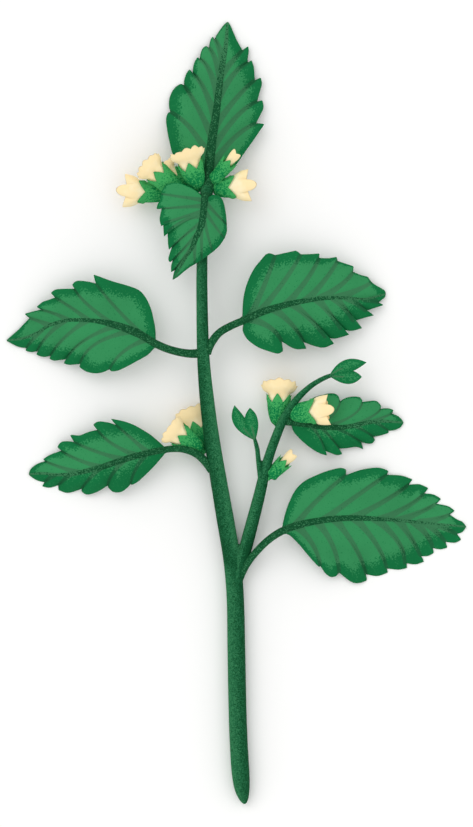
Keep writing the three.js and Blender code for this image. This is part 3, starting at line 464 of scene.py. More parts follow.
FOLDED_LEAF = Leaf(
    node="leaf_folded",
    vein_width=0.45,
    rib_radii=[1.15, 1.15, 1.1, 0.85, 0.62, 0.42, 0.3],
    petiole=[(-9.9, 69.0, 11.0), (-10.1, 69.2, 12.6)],
    midrib=[
        (-10.3, 68.6, 13.6), (-10.5, 66.5, 14.4), (-10.8, 63.5, 15.0), (-11.5, 60.0, 15.0),
        (-12.65, 57.1, 14.8), (-14.25, 53.4, 14.3), (-16.4, 49.9, 13.2), (-18.5, 46.2, 11.6),
        (-20.6, 42.7, 10.0),
    ],
    edges=[
        Edge(
            base=(-9.3, 69.1),
            teeth=[
                Tooth(
                    [(-7.5, 69.9), (-5.6, 69.4), (-4.6, 68.3), (-3.8, 65.5), (-3.4, 62.7)],
                    (-3.2, 60.5), (-3.2, 60.4), (-10.4, 67.9), 0.02,
                ),
                Tooth([(-3.2, 58.3)], (-3.85, 56.1), (-3.95, 56.0), (-10.6, 65.3), 0.03),
                Tooth([(-5.6, 53.6)], (-7.65, 51.65), (-7.75, 51.6), (-10.8, 63.3), 0.03),
                Tooth([(-9.5, 50.3)], (-11.15, 49.2), (-11.25, 49.15), (-11.3, 60.8), 0.0),
                Tooth([(-12.3, 48.4)], (-13.35, 47.75), (-13.45, 47.7), (-13.6, 54.9), 0.0),
            ],
            last_arc=[(-15.1, 46.7), (-17.2, 45.1), (-19.0, 43.6)],
            heights=[13.4, 12.0, 11.0, 10.9, 11.3, 12.0, 12.7, 13.0, 13.15, 13.15, 13.0, 12.2, 10.0],
            shade=[2.5, 1.6, 2.6, 4.0, 2.6, 1.2, 0.5],
        ),
        Edge(
            base=(-11.3, 69.6),
            teeth=[
                Tooth(
                    [(-13.6, 71.6), (-17.2, 73.2), (-19.7, 73.8), (-22.2, 73.2), (-23.7, 71.8)],
                    (-24.2, 70.2), (-24.2, 70.1), (-10.4, 68.2), 0.0,
                ),
                Tooth([(-24.5, 68.2), (-25.3, 66.9)], (-25.7, 65.2), (-24.0, 65.5), (-10.6, 66.3), 0.0),
                Tooth([(-24.4, 63.9), (-24.7, 62.0)], (-24.2, 59.7), (-23.5, 60.9), (-10.75, 64.6), 0.0),
                Tooth([(-23.5, 59.2)], (-23.3, 56.4), (-22.25, 58.2), (-11.0, 63.0), -0.1),
                Tooth(
                    [(-22.1, 56.3), (-22.05, 54.2)],
                    (-21.75, 52.3), (-20.8, 53.25), (-11.4, 61.0), -0.03,
                ),
                Tooth([(-21.6, 50.9), (-21.95, 49.5)], (-21.6, 48.3), (-20.55, 48.95), (-12.4, 57.9), 0.03),
                Tooth([(-21.0, 47.4)], (-21.1, 45.1), (-19.9, 45.9), (-14.7, 53.0), 0.0),
            ],
            last_arc=[(-20.3, 44.6)],
            heights=[13.4, 13.4, 13.4, 13.0, 11.4, 10.4, 9.8, 9.8, 10.0],
            shade=[0.4, 0.4, 1.5, 4.0, 4.0, 4.0, 3.4, 1.6, 0.6],
        ),
    ],
)

LEAVES = [
    LOWER_RIGHT_LEAF,
    UPPER_RIGHT_LEAF,
    UPPER_LEFT_LEAF,
    LOWER_LEFT_LEAF,
    BRANCH_LEAF,
    TOP_LEAF,
    FOLDED_LEAF,
]

# A pair of young leaves grows from root. Each leaf is a list of its tip and of the two points that its
# outline passes halfway there, one on each side.
Young = namedtuple("Young", "node root leaves")

YOUNG_PAIRS = [
    Young(
        "young_leaves_branch",
        (29.4, 12.1, 10.0),
        [
            [(41.4, 16.4, 9.4), (34.5, 17.2), (35.6, 13.0)],
            [(39.9, 11.8, 8.8), (35.4, 9.5), (35.4, 14.0)],
        ],
    ),
    Young(
        "young_leaves_twig",
        (5.8, -8.6, 8.6),
        [
            [(-0.8, 2.7, 8.4), (-0.9, -3.6), (3.6, -3.0)],
            [(4.1, 1.9, 9.0), (6.7, -2.2), (2.4, -3.2)],
        ],
    ),
]

# A bloom's stalk begins at root and its calyx start further on, and the calyx ends at mouth. calyx and petals
# are half widths, reach is how far the petals stand out of the calyx, and flat the bloom's height for its
# width.
Bloom = namedtuple("Bloom", "name kind root start mouth calyx petals reach flat")

BLOOMS = [
    Bloom("top_far_left", "trumpet", (-11.0, 69.4, 9.0), 9.0, (-31.3, 71.0, 6.2), 3.5, 5.5, 7.1, 0.62),
    Bloom("top_left", "fan", (-11.9, 65.2, 9.2), 3.0, (-26.4, 77.6, 10.4), 3.9, 5.0, 4.7, 0.66),
    Bloom("top_left_back", "fan", (-11.8, 68.2, 8.4), 2.0, (-21.8, 76.8, 8.0), 3.3, 4.2, 3.8, 0.6),
    Bloom("top_centre", "fan", (-12.2, 70.8, 10.0), 0.8, (-15.2, 80.7, 12.6), 4.0, 5.8, 5.0, 0.66),
    Bloom("top_right_back", "bud", (-8.6, 73.2, 10.0), 1.0, (-1.9, 81.1, 11.4), 2.6, 1.7, 3.5, 0.8),
    Bloom("top_far_right", "trumpet", (-8.6, 71.6, 9.4), 0.8, (-0.5, 72.5, 9.6), 3.5, 5.3, 6.9, 0.62),
    Bloom("left_axil", "fan", (-10.2, -12.6, 5.2), 1.2, (-19.2, -6.3, 8.2), 3.8, 5.0, 4.7, 0.62),
    Bloom("left_axil_back", "fan", (-10.6, -12.8, 4.6), 1.0, (-13.6, -2.6, 2.5), 4.0, 5.8, 5.0, 0.36),
    Bloom("branch_left", "fan", (13.0, -4.6, 6.2), 0.8, (13.4, 6.2, 5.0), 3.8, 5.8, 4.9, 0.6),
    Bloom("branch_right", "trumpet", (15.2, -0.2, 7.6), 1.4, (25.6, 0.9, 10.6), 3.9, 5.0, 6.4, 0.62),
    Bloom("branch_low", "bud", (9.6, -20.9, 6.6), 1.0, (15.8, -14.8, 6.6), 2.5, 1.8, 3.6, 0.8),
]

# A calyx has so many teeth, the first at the angle first_tooth. tooth is their length, and splay how far they
# lean out, as a share of the calyx's half width. The corolla's first lobe is at the angle first_lobe. reaches
# and spreads are how far each lobe in turn reaches and spreads, and cuts and waists the same for the notch
# after it, as shares of the bloom's own. uneven is how much the reaches vary at random.
Kind = namedtuple("Kind", "teeth first_tooth tooth splay first_lobe reaches cuts spreads waists uneven")

KINDS = {
    "trumpet": Kind(
        teeth=4,
        first_tooth=math.pi / 4,
        tooth=2.4,
        splay=0.42,
        first_lobe=math.pi / 2,
        reaches=(1, 0.68, 0.5, 0.5, 0.68),
        cuts=(0.56, 0.2, 0.3, 0.2, 0.56),
        spreads=(0.8, 1, 0.85, 0.85, 1),
        waists=(0.53, 0.5, 0.5, 0.5, 0.53),
        uneven=0,
    ),
    "fan": Kind(
        teeth=6,
        first_tooth=math.radians(84),
        tooth=2.8,
        splay=0.2,
        first_lobe=math.pi / 2,
        reaches=(1, 0.96, 0.82, 0.56, 0.46, 0.44, 0.44, 0.44, 0.46, 0.56, 0.82, 0.96),
        cuts=(0.87, 0.78, 0.58, 0.4, 0.36, 0.34, 0.34, 0.36, 0.4, 0.58, 0.78, 0.87),
        spreads=(1,) * 12,
        waists=(0.94,) * 12,
        uneven=0.07,
    ),
    "bud": Kind(
        teeth=5,
        first_tooth=math.pi / 2,
        tooth=2.2,
        splay=0.08,
        first_lobe=math.pi / 4,
        reaches=(1, 0.92, 0.8, 0.85),
        cuts=(0.76, 0.65, 0.6, 0.65),
        spreads=(1, 1, 1, 1),
        waists=(0.9,) * 4,
        uneven=0,
    ),
}

CENTRE_STEPS = 40  # points kept between two table points of a centre line
CORNER_STEPS = np.linspace(-0.4, 0.4, 9)  # the places beside a table's place that are averaged with it
TABLE_GAP = 0.02  # how high the lowest points stay above the table, in mm
TOUCHING = 2e-6  # points as near as this, in metres, are made one


# Curves and measures of the plan


def ramp(values, start, end):
    """0 before start and 1 after end, with a soft rise between."""
    t = np.clip((np.asarray(values, float) - start) / (end - start), 0, 1)
    return t * t * (3 - 2 * t)


def mix(a, b, share):
    return a + (b - a) * share


def unit(vectors):
    vectors = np.asarray(vectors, float)
    return vectors / np.maximum(np.linalg.norm(vectors, axis=-1, keepdims=True), 1e-9)


def table_at(values, shares):
    """Evenly spaced table values, read at shares of their length on a line with rounded corners."""
    places = np.clip(shares, 0, 1) * (len(values) - 1)
    return np.mean([np.interp(places + step, range(len(values)), values) for step in CORNER_STEPS], axis=0)


class Path:
    """A smooth curve through points, read by the share of its length."""

    def __init__(self, points):
        known = np.array(points, float)
        known = np.vstack([2 * known[0] - known[1], known, 2 * known[-1] - known[-2]])
        samples = []
        for before, start, end, after in zip(known, known[1:], known[2:], known[3:]):
            gaps = [np.linalg.norm(b - a) ** 0.5 for a, b in ((before, start), (start, end), (end, after))]
            first, middle, last = (max(gap, 1e-3) for gap in gaps)
            leave = (start - before) / first - (end - before) / (first + middle) + (end - start) / middle
            arrive = (end - start) / middle - (after - start) / (middle + last) + (after - end) / last
            t = np.linspace(0, 1, CENTRE_STEPS, endpoint=False)[:, None]
            curve = (2 * t**3 - 3 * t**2 + 1) * start + (3 * t**2 - 2 * t**3) * end
            curve += ((t**3 - 2 * t**2 + t) * leave + (t**3 - t**2) * arrive) * middle
            samples.append(curve)
        self.samples = np.vstack(samples + [known[-2:-1]])
        run = np.cumsum(np.linalg.norm(np.diff(self.samples, axis=0), axis=1))
        self.length = run[-1]
        self.shares = np.concatenate([[0], run]) / self.length

    def at(self, shares):
        columns = [np.interp(shares, self.shares, column) for column in self.samples.T]
        return np.stack(columns, axis=-1)

    def forward(self, shares):
        step = 0.004
        return unit(self.at(np.clip(shares + step, 0, 1)) - self.at(np.clip(shares - step, 0, 1)))


def near(points):
    """A search tree over points of the plan."""
    tree = KDTree(len(points))
    for index, (x, y) in enumerate(points):
        tree.insert((x, y, 0), index)
    tree.balance()
    return tree


def nearest_to(tree, points):
    """The distance and the index of the nearest point of the tree, for each point of the plan."""
    found = [tree.find((x, y, 0)) for x, y in points]
    return np.array([hit[2] for hit in found]), np.array([hit[1] for hit in found])


# Meshes


def plan_shift():
    """Where the tables' origin is in the frame, from two leaves whose tips the tables give."""
    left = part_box("leaf_upper_left")[0].x - UPPER_LEFT_LEAF.midrib[-1][0] * MM
    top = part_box("leaf_top")[1].y - TOP_LEAF.midrib[-1][1] * MM
    return np.array([left, top, 0])


def placed(points):
    return np.asarray(points) * MM + plan_shift()


def grid_faces(rows, columns, first):
    """Four-sided faces between the points of a grid that is numbered row by row from first."""
    corner = (np.arange(rows - 1)[:, None] * columns + np.arange(columns - 1)[None, :]).ravel() + first
    return np.stack([corner, corner + 1, corner + columns + 1, corner + columns], axis=1)


def mark(mesh, key, values):
    """Gives each point of a mesh a value of its own."""
    layer = mesh.attributes.new(key, "FLOAT", "POINT")
    layer.data.foreach_set("value", np.asarray(values, np.float32).ravel())


def marked(mesh, key):
    values = np.empty(len(mesh.vertices), np.float32)
    mesh.attributes[key].data.foreach_get("value", values)
    return values.astype(float)


def coordinates(mesh):
    points = np.empty(len(mesh.vertices) * 3)
    mesh.vertices.foreach_get("co", points)
    return points.reshape(-1, 3)


def close_up(mesh):
    """Merges the points of a mesh that meet, and turns its faces outwards."""
    work = bmesh.new()
    work.from_mesh(mesh)
    bmesh.ops.remove_doubles(work, verts=work.verts, dist=TOUCHING)
    bmesh.ops.dissolve_degenerate(work, edges=work.edges, dist=1e-8)
    bmesh.ops.recalc_face_normals(work, faces=work.faces)
    for face in work.faces:
        face.smooth = True
    work.to_mesh(mesh)
    work.free()


class Sheets:
    """Grids of points that are joined into one skin where they meet, with values for each point."""

    def __init__(self):
        self.points = []
        self.faces = []
        self.values = {}

    def add(self, grid, **values):
        """Takes a grid of points, and for each key a value for every point, row, column or the whole grid."""
        rows, columns = grid.shape[:2]
        self.faces.append(grid_faces(rows, columns, sum(len(points) for points in self.points)))
        self.points.append(grid.reshape(-1, 3))
        for key, value in values.items():
            self.values.setdefault(key, []).append(np.broadcast_to(value, (rows, columns)).ravel())

    def joined(self, name, place=np.asarray):
        """One mesh of all the grids. place is a function that moves its points to where they belong."""
        mesh = bpy.data.meshes.new(name)
        mesh.from_pydata(place(np.vstack(self.points)).tolist(), [], np.vstack(self.faces).tolist())
        for key, values in self.values.items():
            mark(mesh, key, np.concatenate(values))
        close_up(mesh)
        return mesh


def hold(mesh):
    """An object that holds a mesh while modifiers work on it."""
    holder = bpy.data.objects.new("holder", mesh)
    bpy.context.scene.collection.objects.link(holder)
    return holder


def finished(holder):
    """The plain mesh that a holder's modifiers make. The holder and its own mesh go."""
    depsgraph = bpy.context.evaluated_depsgraph_get()
    made = bpy.data.meshes.new_from_object(
        holder.evaluated_get(depsgraph), preserve_all_data_layers=True, depsgraph=depsgraph
    )
    mesh = holder.data
    holder.modifiers.clear()
    bpy.data.objects.remove(holder)
    bpy.data.meshes.remove(mesh)
    return made


def add_piece(name, mesh, node, material):
    """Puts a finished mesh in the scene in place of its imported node."""
    mesh.materials.clear()
    mesh.materials.append(material)
    piece = bpy.data.objects.new(name, mesh)
    bpy.context.scene.collection.objects.link(piece)
    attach(piece, BODY)
    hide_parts(node)


# Geometry Nodes


class Tree:
    """A node tree under construction, for shapes and for materials."""

    def __init__(self, tree):
        self.tree = tree

    def add(self, kind, inputs=None, **settings):
        node = self.tree.nodes.new(kind)
        for key, value in settings.items():
            setattr(node, key, value)
        for key, value in (inputs or {}).items():
            if isinstance(value, bpy.types.NodeSocket):
                self.tree.links.new(value, node.inputs[key])
            else:
                node.inputs[key].default_value = value
        return node

    def math(self, operation, first, second=0.0):
        return self.add("ShaderNodeMath", {0: first, 1: second}, operation=operation).outputs[0]


def shape_tree(name, inputs):
    """A Geometry Nodes tree with named inputs, and the sockets that they come out of."""
    tree = bpy.data.node_groups.new(name, "GeometryNodeTree")
    tree.interface.new_socket("Geometry", in_out="INPUT", socket_type="NodeSocketGeometry")
    for key, (kind, default) in inputs.items():
        socket = tree.interface.new_socket(key, in_out="INPUT", socket_type=kind)
        if default is not None:
            socket.default_value = default
    tree.interface.new_socket("Geometry", in_out="OUTPUT", socket_type="NodeSocketGeometry")
    made = Tree(tree)
    return made, made.add("NodeGroupInput").outputs


def end_tree(made, geometry, material):
    real = made.add("GeometryNodeRealizeInstances", {"Geometry": geometry})
    finish = made.add("GeometryNodeSetMaterial", {"Geometry": real.outputs[0], "Material": material})
    made.add("NodeGroupOutput", {"Geometry": finish.outputs[0]})
    return made.tree


def sweep_tree():
    """A tree that sweeps a squared stem along a line, whose points give its radius."""
    made, inputs = shape_tree(
        "Stem along a line",
        {
            "Sides": ("NodeSocketInt", 32),
            "Squareness": ("NodeSocketFloat", 0.06),
            "Material": ("NodeSocketMaterial", None),
        },
    )
    line = made.add("GeometryNodeMeshToCurve", {"Mesh": inputs["Geometry"]})
    radius = made.add("GeometryNodeInputNamedAttribute", {"Name": "radius"}, data_type="FLOAT")
    upright = made.add("GeometryNodeSetCurveNormal", {"Curve": line.outputs[0]}, mode="Z_UP")
    circle = made.add(
        "GeometryNodeCurvePrimitiveCircle", {"Resolution": inputs["Sides"], "Radius": 1.0}, mode="RADIUS"
    )
    place = made.add("GeometryNodeInputPosition").outputs[0]
    axes = made.add("ShaderNodeSeparateXYZ", {0: place}).outputs
    turn = made.math("ARCTAN2", axes[1], axes[0])
    corner = made.math("COSINE", made.math("MULTIPLY", turn, 4.0))
    share = made.math("SUBTRACT", 1.0, made.math("MULTIPLY", corner, inputs["Squareness"]))
    squared = made.add("ShaderNodeVectorMath", {0: place, "Scale": share}, operation="SCALE")
    profile = made.add(
        "GeometryNodeSetPosition", {"Geometry": circle.outputs[0], "Position": squared.outputs[0]}
    )
    tube = made.add(
        "GeometryNodeCurveToMesh",
        {
            "Curve": upright.outputs[0],
            "Profile Curve": profile.outputs[0],
            "Scale": radius.outputs[0],
            "Fill Caps": True,
        },
    )
    return end_tree(made, tube.outputs[0], inputs["Material"])


def ring_tree():
    """A tree that turns copies of one sector round the axis until they close a ring."""
    made, inputs = shape_tree(
        "Ring of sectors",
        {
            "Count": ("NodeSocketInt", 5),
            "First angle": ("NodeSocketFloat", 0.0),
            "Seam": ("NodeSocketFloat", 0.0001),
            "Material": ("NodeSocketMaterial", None),
        },
    )
    points = made.add("GeometryNodePoints", {"Count": inputs["Count"]})
    index = made.add("GeometryNodeInputIndex").outputs[0]
    step = made.math("DIVIDE", 2 * math.pi, inputs["Count"])
    angle = made.math("ADD", made.math("MULTIPLY", index, step), inputs["First angle"])
    euler = made.add("ShaderNodeCombineXYZ", {"Z": angle})
    turn = made.add("FunctionNodeEulerToRotation", {0: euler.outputs[0]})
    ring = made.add(
        "GeometryNodeInstanceOnPoints",
        {"Points": points.outputs[0], "Instance": inputs["Geometry"], "Rotation": turn.outputs[0]},
    )
    real = made.add("GeometryNodeRealizeInstances", {"Geometry": ring.outputs[0]})
    merged = made.add(
        "GeometryNodeMergeByDistance", {"Geometry": real.outputs[0], "Distance": inputs["Seam"]}
    )
    return end_tree(made, merged.outputs[0], inputs["Material"])


def grown(mesh, tree, values):
    """The plain mesh that a tree makes out of another mesh."""
    holder = hold(mesh)
    modifier = holder.modifiers.new("Growth", "NODES")
    modifier.node_group = tree
    for item in tree.interface.items_tree:
        if item.item_type == "SOCKET" and item.in_out == "INPUT" and item.name in values:
            modifier[item.identifier] = values[item.name]
    return finished(holder)


# Materials


def linear(red, green, blue):
    """A colour given as 0 to 255 a channel, as the linear colour that a shader takes."""
    shares = [channel / 255 for channel in (red, green, blue)]
    return tuple(s / 12.92 if s <= 0.04045 else ((s + 0.055) / 1.055) ** 2.4 for s in shares) + (1.0,)


class Finish(Tree):
    """The node tree of one plant material, with its object coordinates at hand."""

    def __init__(self, name, roughness, specular):
        self.material = bpy.data.materials.new(name)
        self.material.use_nodes = True
        super().__init__(self.material.node_tree)
        self.shader = self.tree.nodes["Principled BSDF"]
        self.shader.inputs["Roughness"].default_value = roughness
        self.shader.inputs["Specular IOR Level"].default_value = specular
        self.place = self.add("ShaderNodeTexCoord").outputs["Object"]

    def attribute(self, name):
        return self.add("ShaderNodeAttribute", attribute_name=name).outputs["Fac"]

    def ramp(self, value, start, end, low=0.0, high=1.0):
        inputs = {0: value, 1: start, 2: end, 3: low, 4: high}
        return self.add("ShaderNodeMapRange", inputs, interpolation_type="SMOOTHSTEP").outputs[0]

    def blend(self, factor, first, second):
        inputs = {0: factor, 6: first, 7: second}
        return self.add("ShaderNodeMix", inputs, data_type="RGBA").outputs[2]

    def grain(self, size):
        """A random level for each small grain of the surface, from 0 to 1."""
        cells = self.add("ShaderNodeTexVoronoi", {"Vector": self.place, "Scale": 1 / size})
        return self.add("ShaderNodeSeparateColor", {0: cells.outputs["Color"]}).outputs[0]

    def stipple(self, chance, size, softness=0.1):
        """Grains that turn on where their random level is under the chance."""
        rise = self.math("SUBTRACT", chance, self.grain(size))
        return self.ramp(rise, -softness, softness)

    def cloud(self, size):
        inputs = {"Vector": self.place, "Scale": 1 / size, "Detail": 2.0}
        return self.add("ShaderNodeTexNoise", inputs).outputs["Fac"]

    def net(self, size):
        inputs = {"Vector": self.place, "Scale": 1 / size}
        return self.add("ShaderNodeTexVoronoi", inputs, feature="DISTANCE_TO_EDGE").outputs["Distance"]

    def done(self, colour, height, strength, distance):
        self.tree.links.new(colour, self.shader.inputs["Base Color"])
        inputs = {"Strength": strength, "Distance": distance, "Height": height}
        bump = self.add("ShaderNodeBump", inputs)
        self.tree.links.new(bump.outputs[0], self.shader.inputs["Normal"])
        return self.material


def leaf_material(look):
    """A leaf: dark specks of painted shade towards its margin, with veins and a midrib that is darker near
    the petiole and fades along the blade.
    """
    made = Finish("leaf", look.roughness, look.gloss)
    grain = look.grain
    # Painted shade: dark specks, thicker towards the margin, over the widths that the shade tables give.
    dark = made.stipple(made.ramp(made.attribute("margin"), 0.04, 0.7), grain)
    blade = made.blend(dark, look.blade, look.margin)
    # The side veins darken too under the painted shade.
    veins = made.blend(made.math("MULTIPLY", dark, 0.85), look.vein, look.vein_in_painted_shade)
    in_vein = made.ramp(made.attribute("vein"), 1.5, 1.1)
    colour = made.blend(in_vein, blade, veins)
    # The midrib's dark specks are thickest at the petiole and fade along the blade towards the tip.
    darker_near_petiole = made.ramp(made.attribute("share"), 1.0, 0.3, 0.15, 0.8)
    rib = made.blend(made.stipple(darker_near_petiole, grain * 0.9), look.vein, look.midrib)
    colour = made.blend(made.ramp(made.attribute("rib"), 1.08, 0.9), colour, rib)
    shade = made.ramp(made.cloud(0.012), 0.3, 0.7, 0.94, 1.05)
    tone = made.add("ShaderNodeVectorMath", {0: colour, "Scale": shade}, operation="SCALE").outputs[0]
    return made.done(tone, made.net(look.net), 0.35, 0.12 * MM)


def young_leaf_material(look, leaf_look):
    """A young leaf: dark, with light specks between a pale midline and the edge."""
    made = Finish("young_leaf", leaf_look.roughness, leaf_look.gloss)
    light = made.stipple(made.ramp(made.attribute("margin"), 0.9, 0.1, 0.03, 0.5), leaf_look.grain)
    colour = made.blend(light, look.blade, leaf_look.blade)
    colour = made.blend(made.ramp(made.attribute("rib"), 1.2, 0.8), colour, look.midline)
    return made.done(colour, made.net(leaf_look.net), 0.3, 0.1 * MM)


def stem_material(look, leaf_look):
    """The stem: painted light on one side, painted shade on the other and at the fork, with a fine grain
    along it.
    """
    made = Finish("stem", look.roughness, leaf_look.gloss)
    side = made.attribute("side")
    # Painted light: lighter specks on the stem's lit side.
    light = made.stipple(made.ramp(side, 0.6, -1.0, 0.08, 0.75), leaf_look.grain)
    # Painted shade: darker specks on the stem's shaded side.
    painted_shade_side = made.stipple(made.ramp(side, -0.5, 1.0, 0.08, 0.75), leaf_look.grain * 0.9)
    colour = made.blend(light, look.colour, look.light)
    colour = made.blend(painted_shade_side, colour, look.dark)
    # Painted shade: darker specks round the fork, on the stem's shaded side.
    fork = made.stipple(made.ramp(made.attribute("fork"), 0.05, 0.9, 0.0, 0.9), leaf_look.grain)
    colour = made.blend(fork, colour, look.dark)
    return made.done(colour, made.cloud(0.6 * MM), 0.25, 0.15 * MM)


def calyx_material(look, leaf_look):
    """A calyx: bright at its teeth and stippled darker towards its foot."""
    made = Finish("calyx", leaf_look.roughness, leaf_look.gloss)
    chance = made.ramp(made.attribute("up"), 0.9, 0.4, 0.02, 0.66)
    colour = made.blend(made.stipple(chance, leaf_look.grain), look.calyx, look.calyx_dark)
    return made.done(colour, made.cloud(0.5 * MM), 0.25, 0.12 * MM)


def petal_material(look, leaf_look):
    """A petal: cream, paler towards the throat, and faintly uneven."""
    made = Finish("petal", leaf_look.roughness, leaf_look.gloss)
    pale = made.ramp(made.math("ADD", made.attribute("up"), made.cloud(2.5 * MM)), 1.35, 0.9)
    colour = made.blend(pale, look.petal, look.throat)
    return made.done(colour, made.cloud(0.7 * MM), 0.2, 0.12 * MM)


# The user's sizes and colours


def length(name, description, millimetres):
    return bpy.props.FloatProperty(
        name=name, description=description, default=millimetres * MM, min=0, precision=5, unit="LENGTH"
    )


def portion(name, description, default):
    return bpy.props.FloatProperty(
        name=name, description=description, default=default, min=0, max=1, subtype="FACTOR"
    )


def amount(name, description, default):
    return bpy.props.FloatProperty(name=name, description=description, default=default, min=0)


def colour(name, description, red, green, blue):
    default = linear(red, green, blue)
    return bpy.props.FloatVectorProperty(
        name=name, description=description, default=default, size=4, min=0, max=1, subtype="COLOR"
    )


class SprigLeafLook(bpy.types.PropertyGroup):
    thickness: length("Blade thickness", "Thickness of a blade beside its midrib", 0.6)
    margin_thickness: length("Margin thickness", "Thickness of a blade at its margin", 0.36)
    wave: length("Margin wave", "How far the margin rises and falls at each tooth", 0.35)
    camber: length("Camber", "How far each half of a blade is crowned", 0.5)
    quilting: length("Quilting", "How far a blade swells between its veins", 0.28)
    vein_depth: length("Vein depth", "How far a vein is sunk on top", 0.06)
    vein_height: length("Vein height", "How far a vein stands out below", 0.2)
    rounding: length("Tooth rounding", "How much the tips of the teeth are rounded", 0.25)
    grain: length("Grain", "Size of one speck of colour", 0.3)
    net: length("Net", "Size of one cell of the fine net of veins", 1.1)
    roughness: portion("Roughness", "Roughness of the leaves", 0.7)
    gloss: portion("Gloss", "Strength of the shine of the leaves", 0.08)
    blade: colour("Blade", "Colour of a blade", 50, 138, 84)
    # The next two colours are painted shade: the dark specks towards a blade's margin, and the side veins
    # within them.
    margin: colour("Margin", "Colour of the specks towards the margin", 13, 110, 60)
    vein: colour("Vein", "Colour of a side vein", 56, 120, 79)
    vein_in_painted_shade: colour("Vein at the margin", "Colour of a side vein where the blade is dark", 16, 90, 52)
    # midrib: the colour of the dark specks on the petiole and on the midrib near it.
    midrib: colour("Midrib", "Colour of the petiole and the old end of the midrib", 12, 76, 42)


class SprigYoungLook(bpy.types.PropertyGroup):
    thickness: length("Thickness", "Thickness of a young leaf", 0.7)
    fold: length("Fold", "How far a young leaf is folded up along its middle", 0.35)
    midline: colour("Midline", "Colour of the midline", 60, 118, 78)
    blade: colour("Blade", "Colour of a young leaf", 15, 114, 63)


class SprigStemLook(bpy.types.PropertyGroup):
    squareness: portion("Squareness", "How far the round section is drawn out into four corners", 0.06)
    fineness: length("Fineness", "Size of one face of the stem", 0.3)
    roughness: portion("Roughness", "Roughness of the stem", 0.75)
    colour: colour("Stem", "Colour of the stem", 28, 96, 59)
    # Light side is painted light and Dark side is painted shade, laid on the stem's two sides.
    light: colour("Light side", "Colour of the stem's light side", 48, 118, 76)
    dark: colour("Dark side", "Colour of the stem's dark side", 6, 70, 37)


class SprigBloomLook(bpy.types.PropertyGroup):
    wall: length("Calyx wall", "Thickness of a calyx", 0.45)
    petal_thickness: length("Petal thickness", "Thickness of a petal", 0.35)
    nerve: length("Nerves", "How far the nerves of a calyx stand out", 0.08)
    ruffle: length("Ruffle", "How far the rim of a full bloom waves", 0.12)
    calyx: colour("Calyx", "Colour of a calyx", 66, 168, 93)
    calyx_dark: colour("Calyx foot", "Colour of the specks on a calyx", 8, 124, 66)
    petal: colour("Petal", "Colour of a petal", 255, 232, 180)
    throat: colour("Throat", "Colour of a petal towards the throat", 255, 240, 200)


class SprigStageLook(bpy.types.PropertyGroup):
    floor_size: length("Floor", "Side of the square floor", 6000)
    floor: colour("Floor colour", "Colour of the floor", 254, 254, 253)
    sky: amount("Sky", "Strength of the even light all round", 0.95)
    sun: amount("Sun", "Strength of the soft light from the upper left", 0.4)
    lens: bpy.props.FloatProperty(
        name="Lens", description="Focal length of the camera", default=400, min=1, unit="CAMERA"
    )
    height: length("Middle height", "Height of the sprig's middle above the table", 4)


# Leaves

# A blade has columns of points that run from its midrib to its margin. Some go to the arc of its first tooth,
# and the others start at set places between two side veins. Each column has rows on the ridge of the midrib,
# on the blade and round the rim. Lengths are in millimetres.
FIRST_ARC_COLUMNS = 46
TOOTH_PLACES = (0.03, 0.07, 0.13, 0.22, 0.34, 0.46, 0.58, 0.68, 0.76, 0.81, 0.85, 0.88, 0.91, 0.94, 0.97)
COLUMN_GAP = 0.0012  # the smallest gap between two columns, as a share of the midrib
RIDGE_ROWS = 7
BLADE_ROWS = 11
RIM_TURNS = np.radians((30, 60, 90))

ARC_STEPS = 60  # points kept on the outline of a tooth
TOOTH_STRIP = 0.85  # the share of a tooth's strip that runs to its outer edge
OUTLINE_STEP = 0.08  # how fine the outline is when its teeth are rounded
MIDRIB_SAMPLES = 401
VEIN_SAMPLES = 90
MARGIN_SAMPLES = 900
LEAST_STRIP = 0.02  # the least share of the midrib between two side veins
LAST_VEIN = 0.985  # the last place on the midrib where one may start
ROUNDED = (0.1, 0.8)  # how far from a notch the rounding of the outline begins, and is full

LEAST_LEAN = 0.35  # the least slant that a column is taken to have to the midrib
RIDGE_FOOT = 1.3  # where the rows on the ridge end, in radii of the midrib
RIM_SHARE = 0.35  # the most that the rim takes of a narrow column
BLADED = 1.8  # how wide a half is, in radii of the midrib, before it is all blade
VEIN_TAPER = 0.4  # how much narrower a side vein is at its notch
VEIN_FLARE = 0.9  # how much wider it is at the midrib
FLARE_REACH = 1.8
DROOP = 1.3  # how late a column bends to the height of the margin
SWELL_REACH = 1.6  # how far from a side vein the swell of the blade is nearly full
UNDER_SWELL = 0.6  # the share of the swell that shows on the under side
RIDGE_FILLET = 0.25  # how softly the midrib meets the blade
RIDGE_FALL = 3  # how steeply the ridge falls away beside the midrib
RIB_CLEAR = (0.5, 2.0)  # how far from the midrib the swell and the veins begin, and are full
TIP_PART = 0.8  # the share of the midrib after which it bends to the tip of the outline
PETIOLE_STEP = 0.6
ROOT_FLARE = 0.35  # how much wider a petiole is at its root
ROOT_FLARE_REACH = 3.0
PETIOLE_MARKS = {"margin": 0.0, "vein": 9.0, "rib": 0.0}  # far from the margin and every side vein


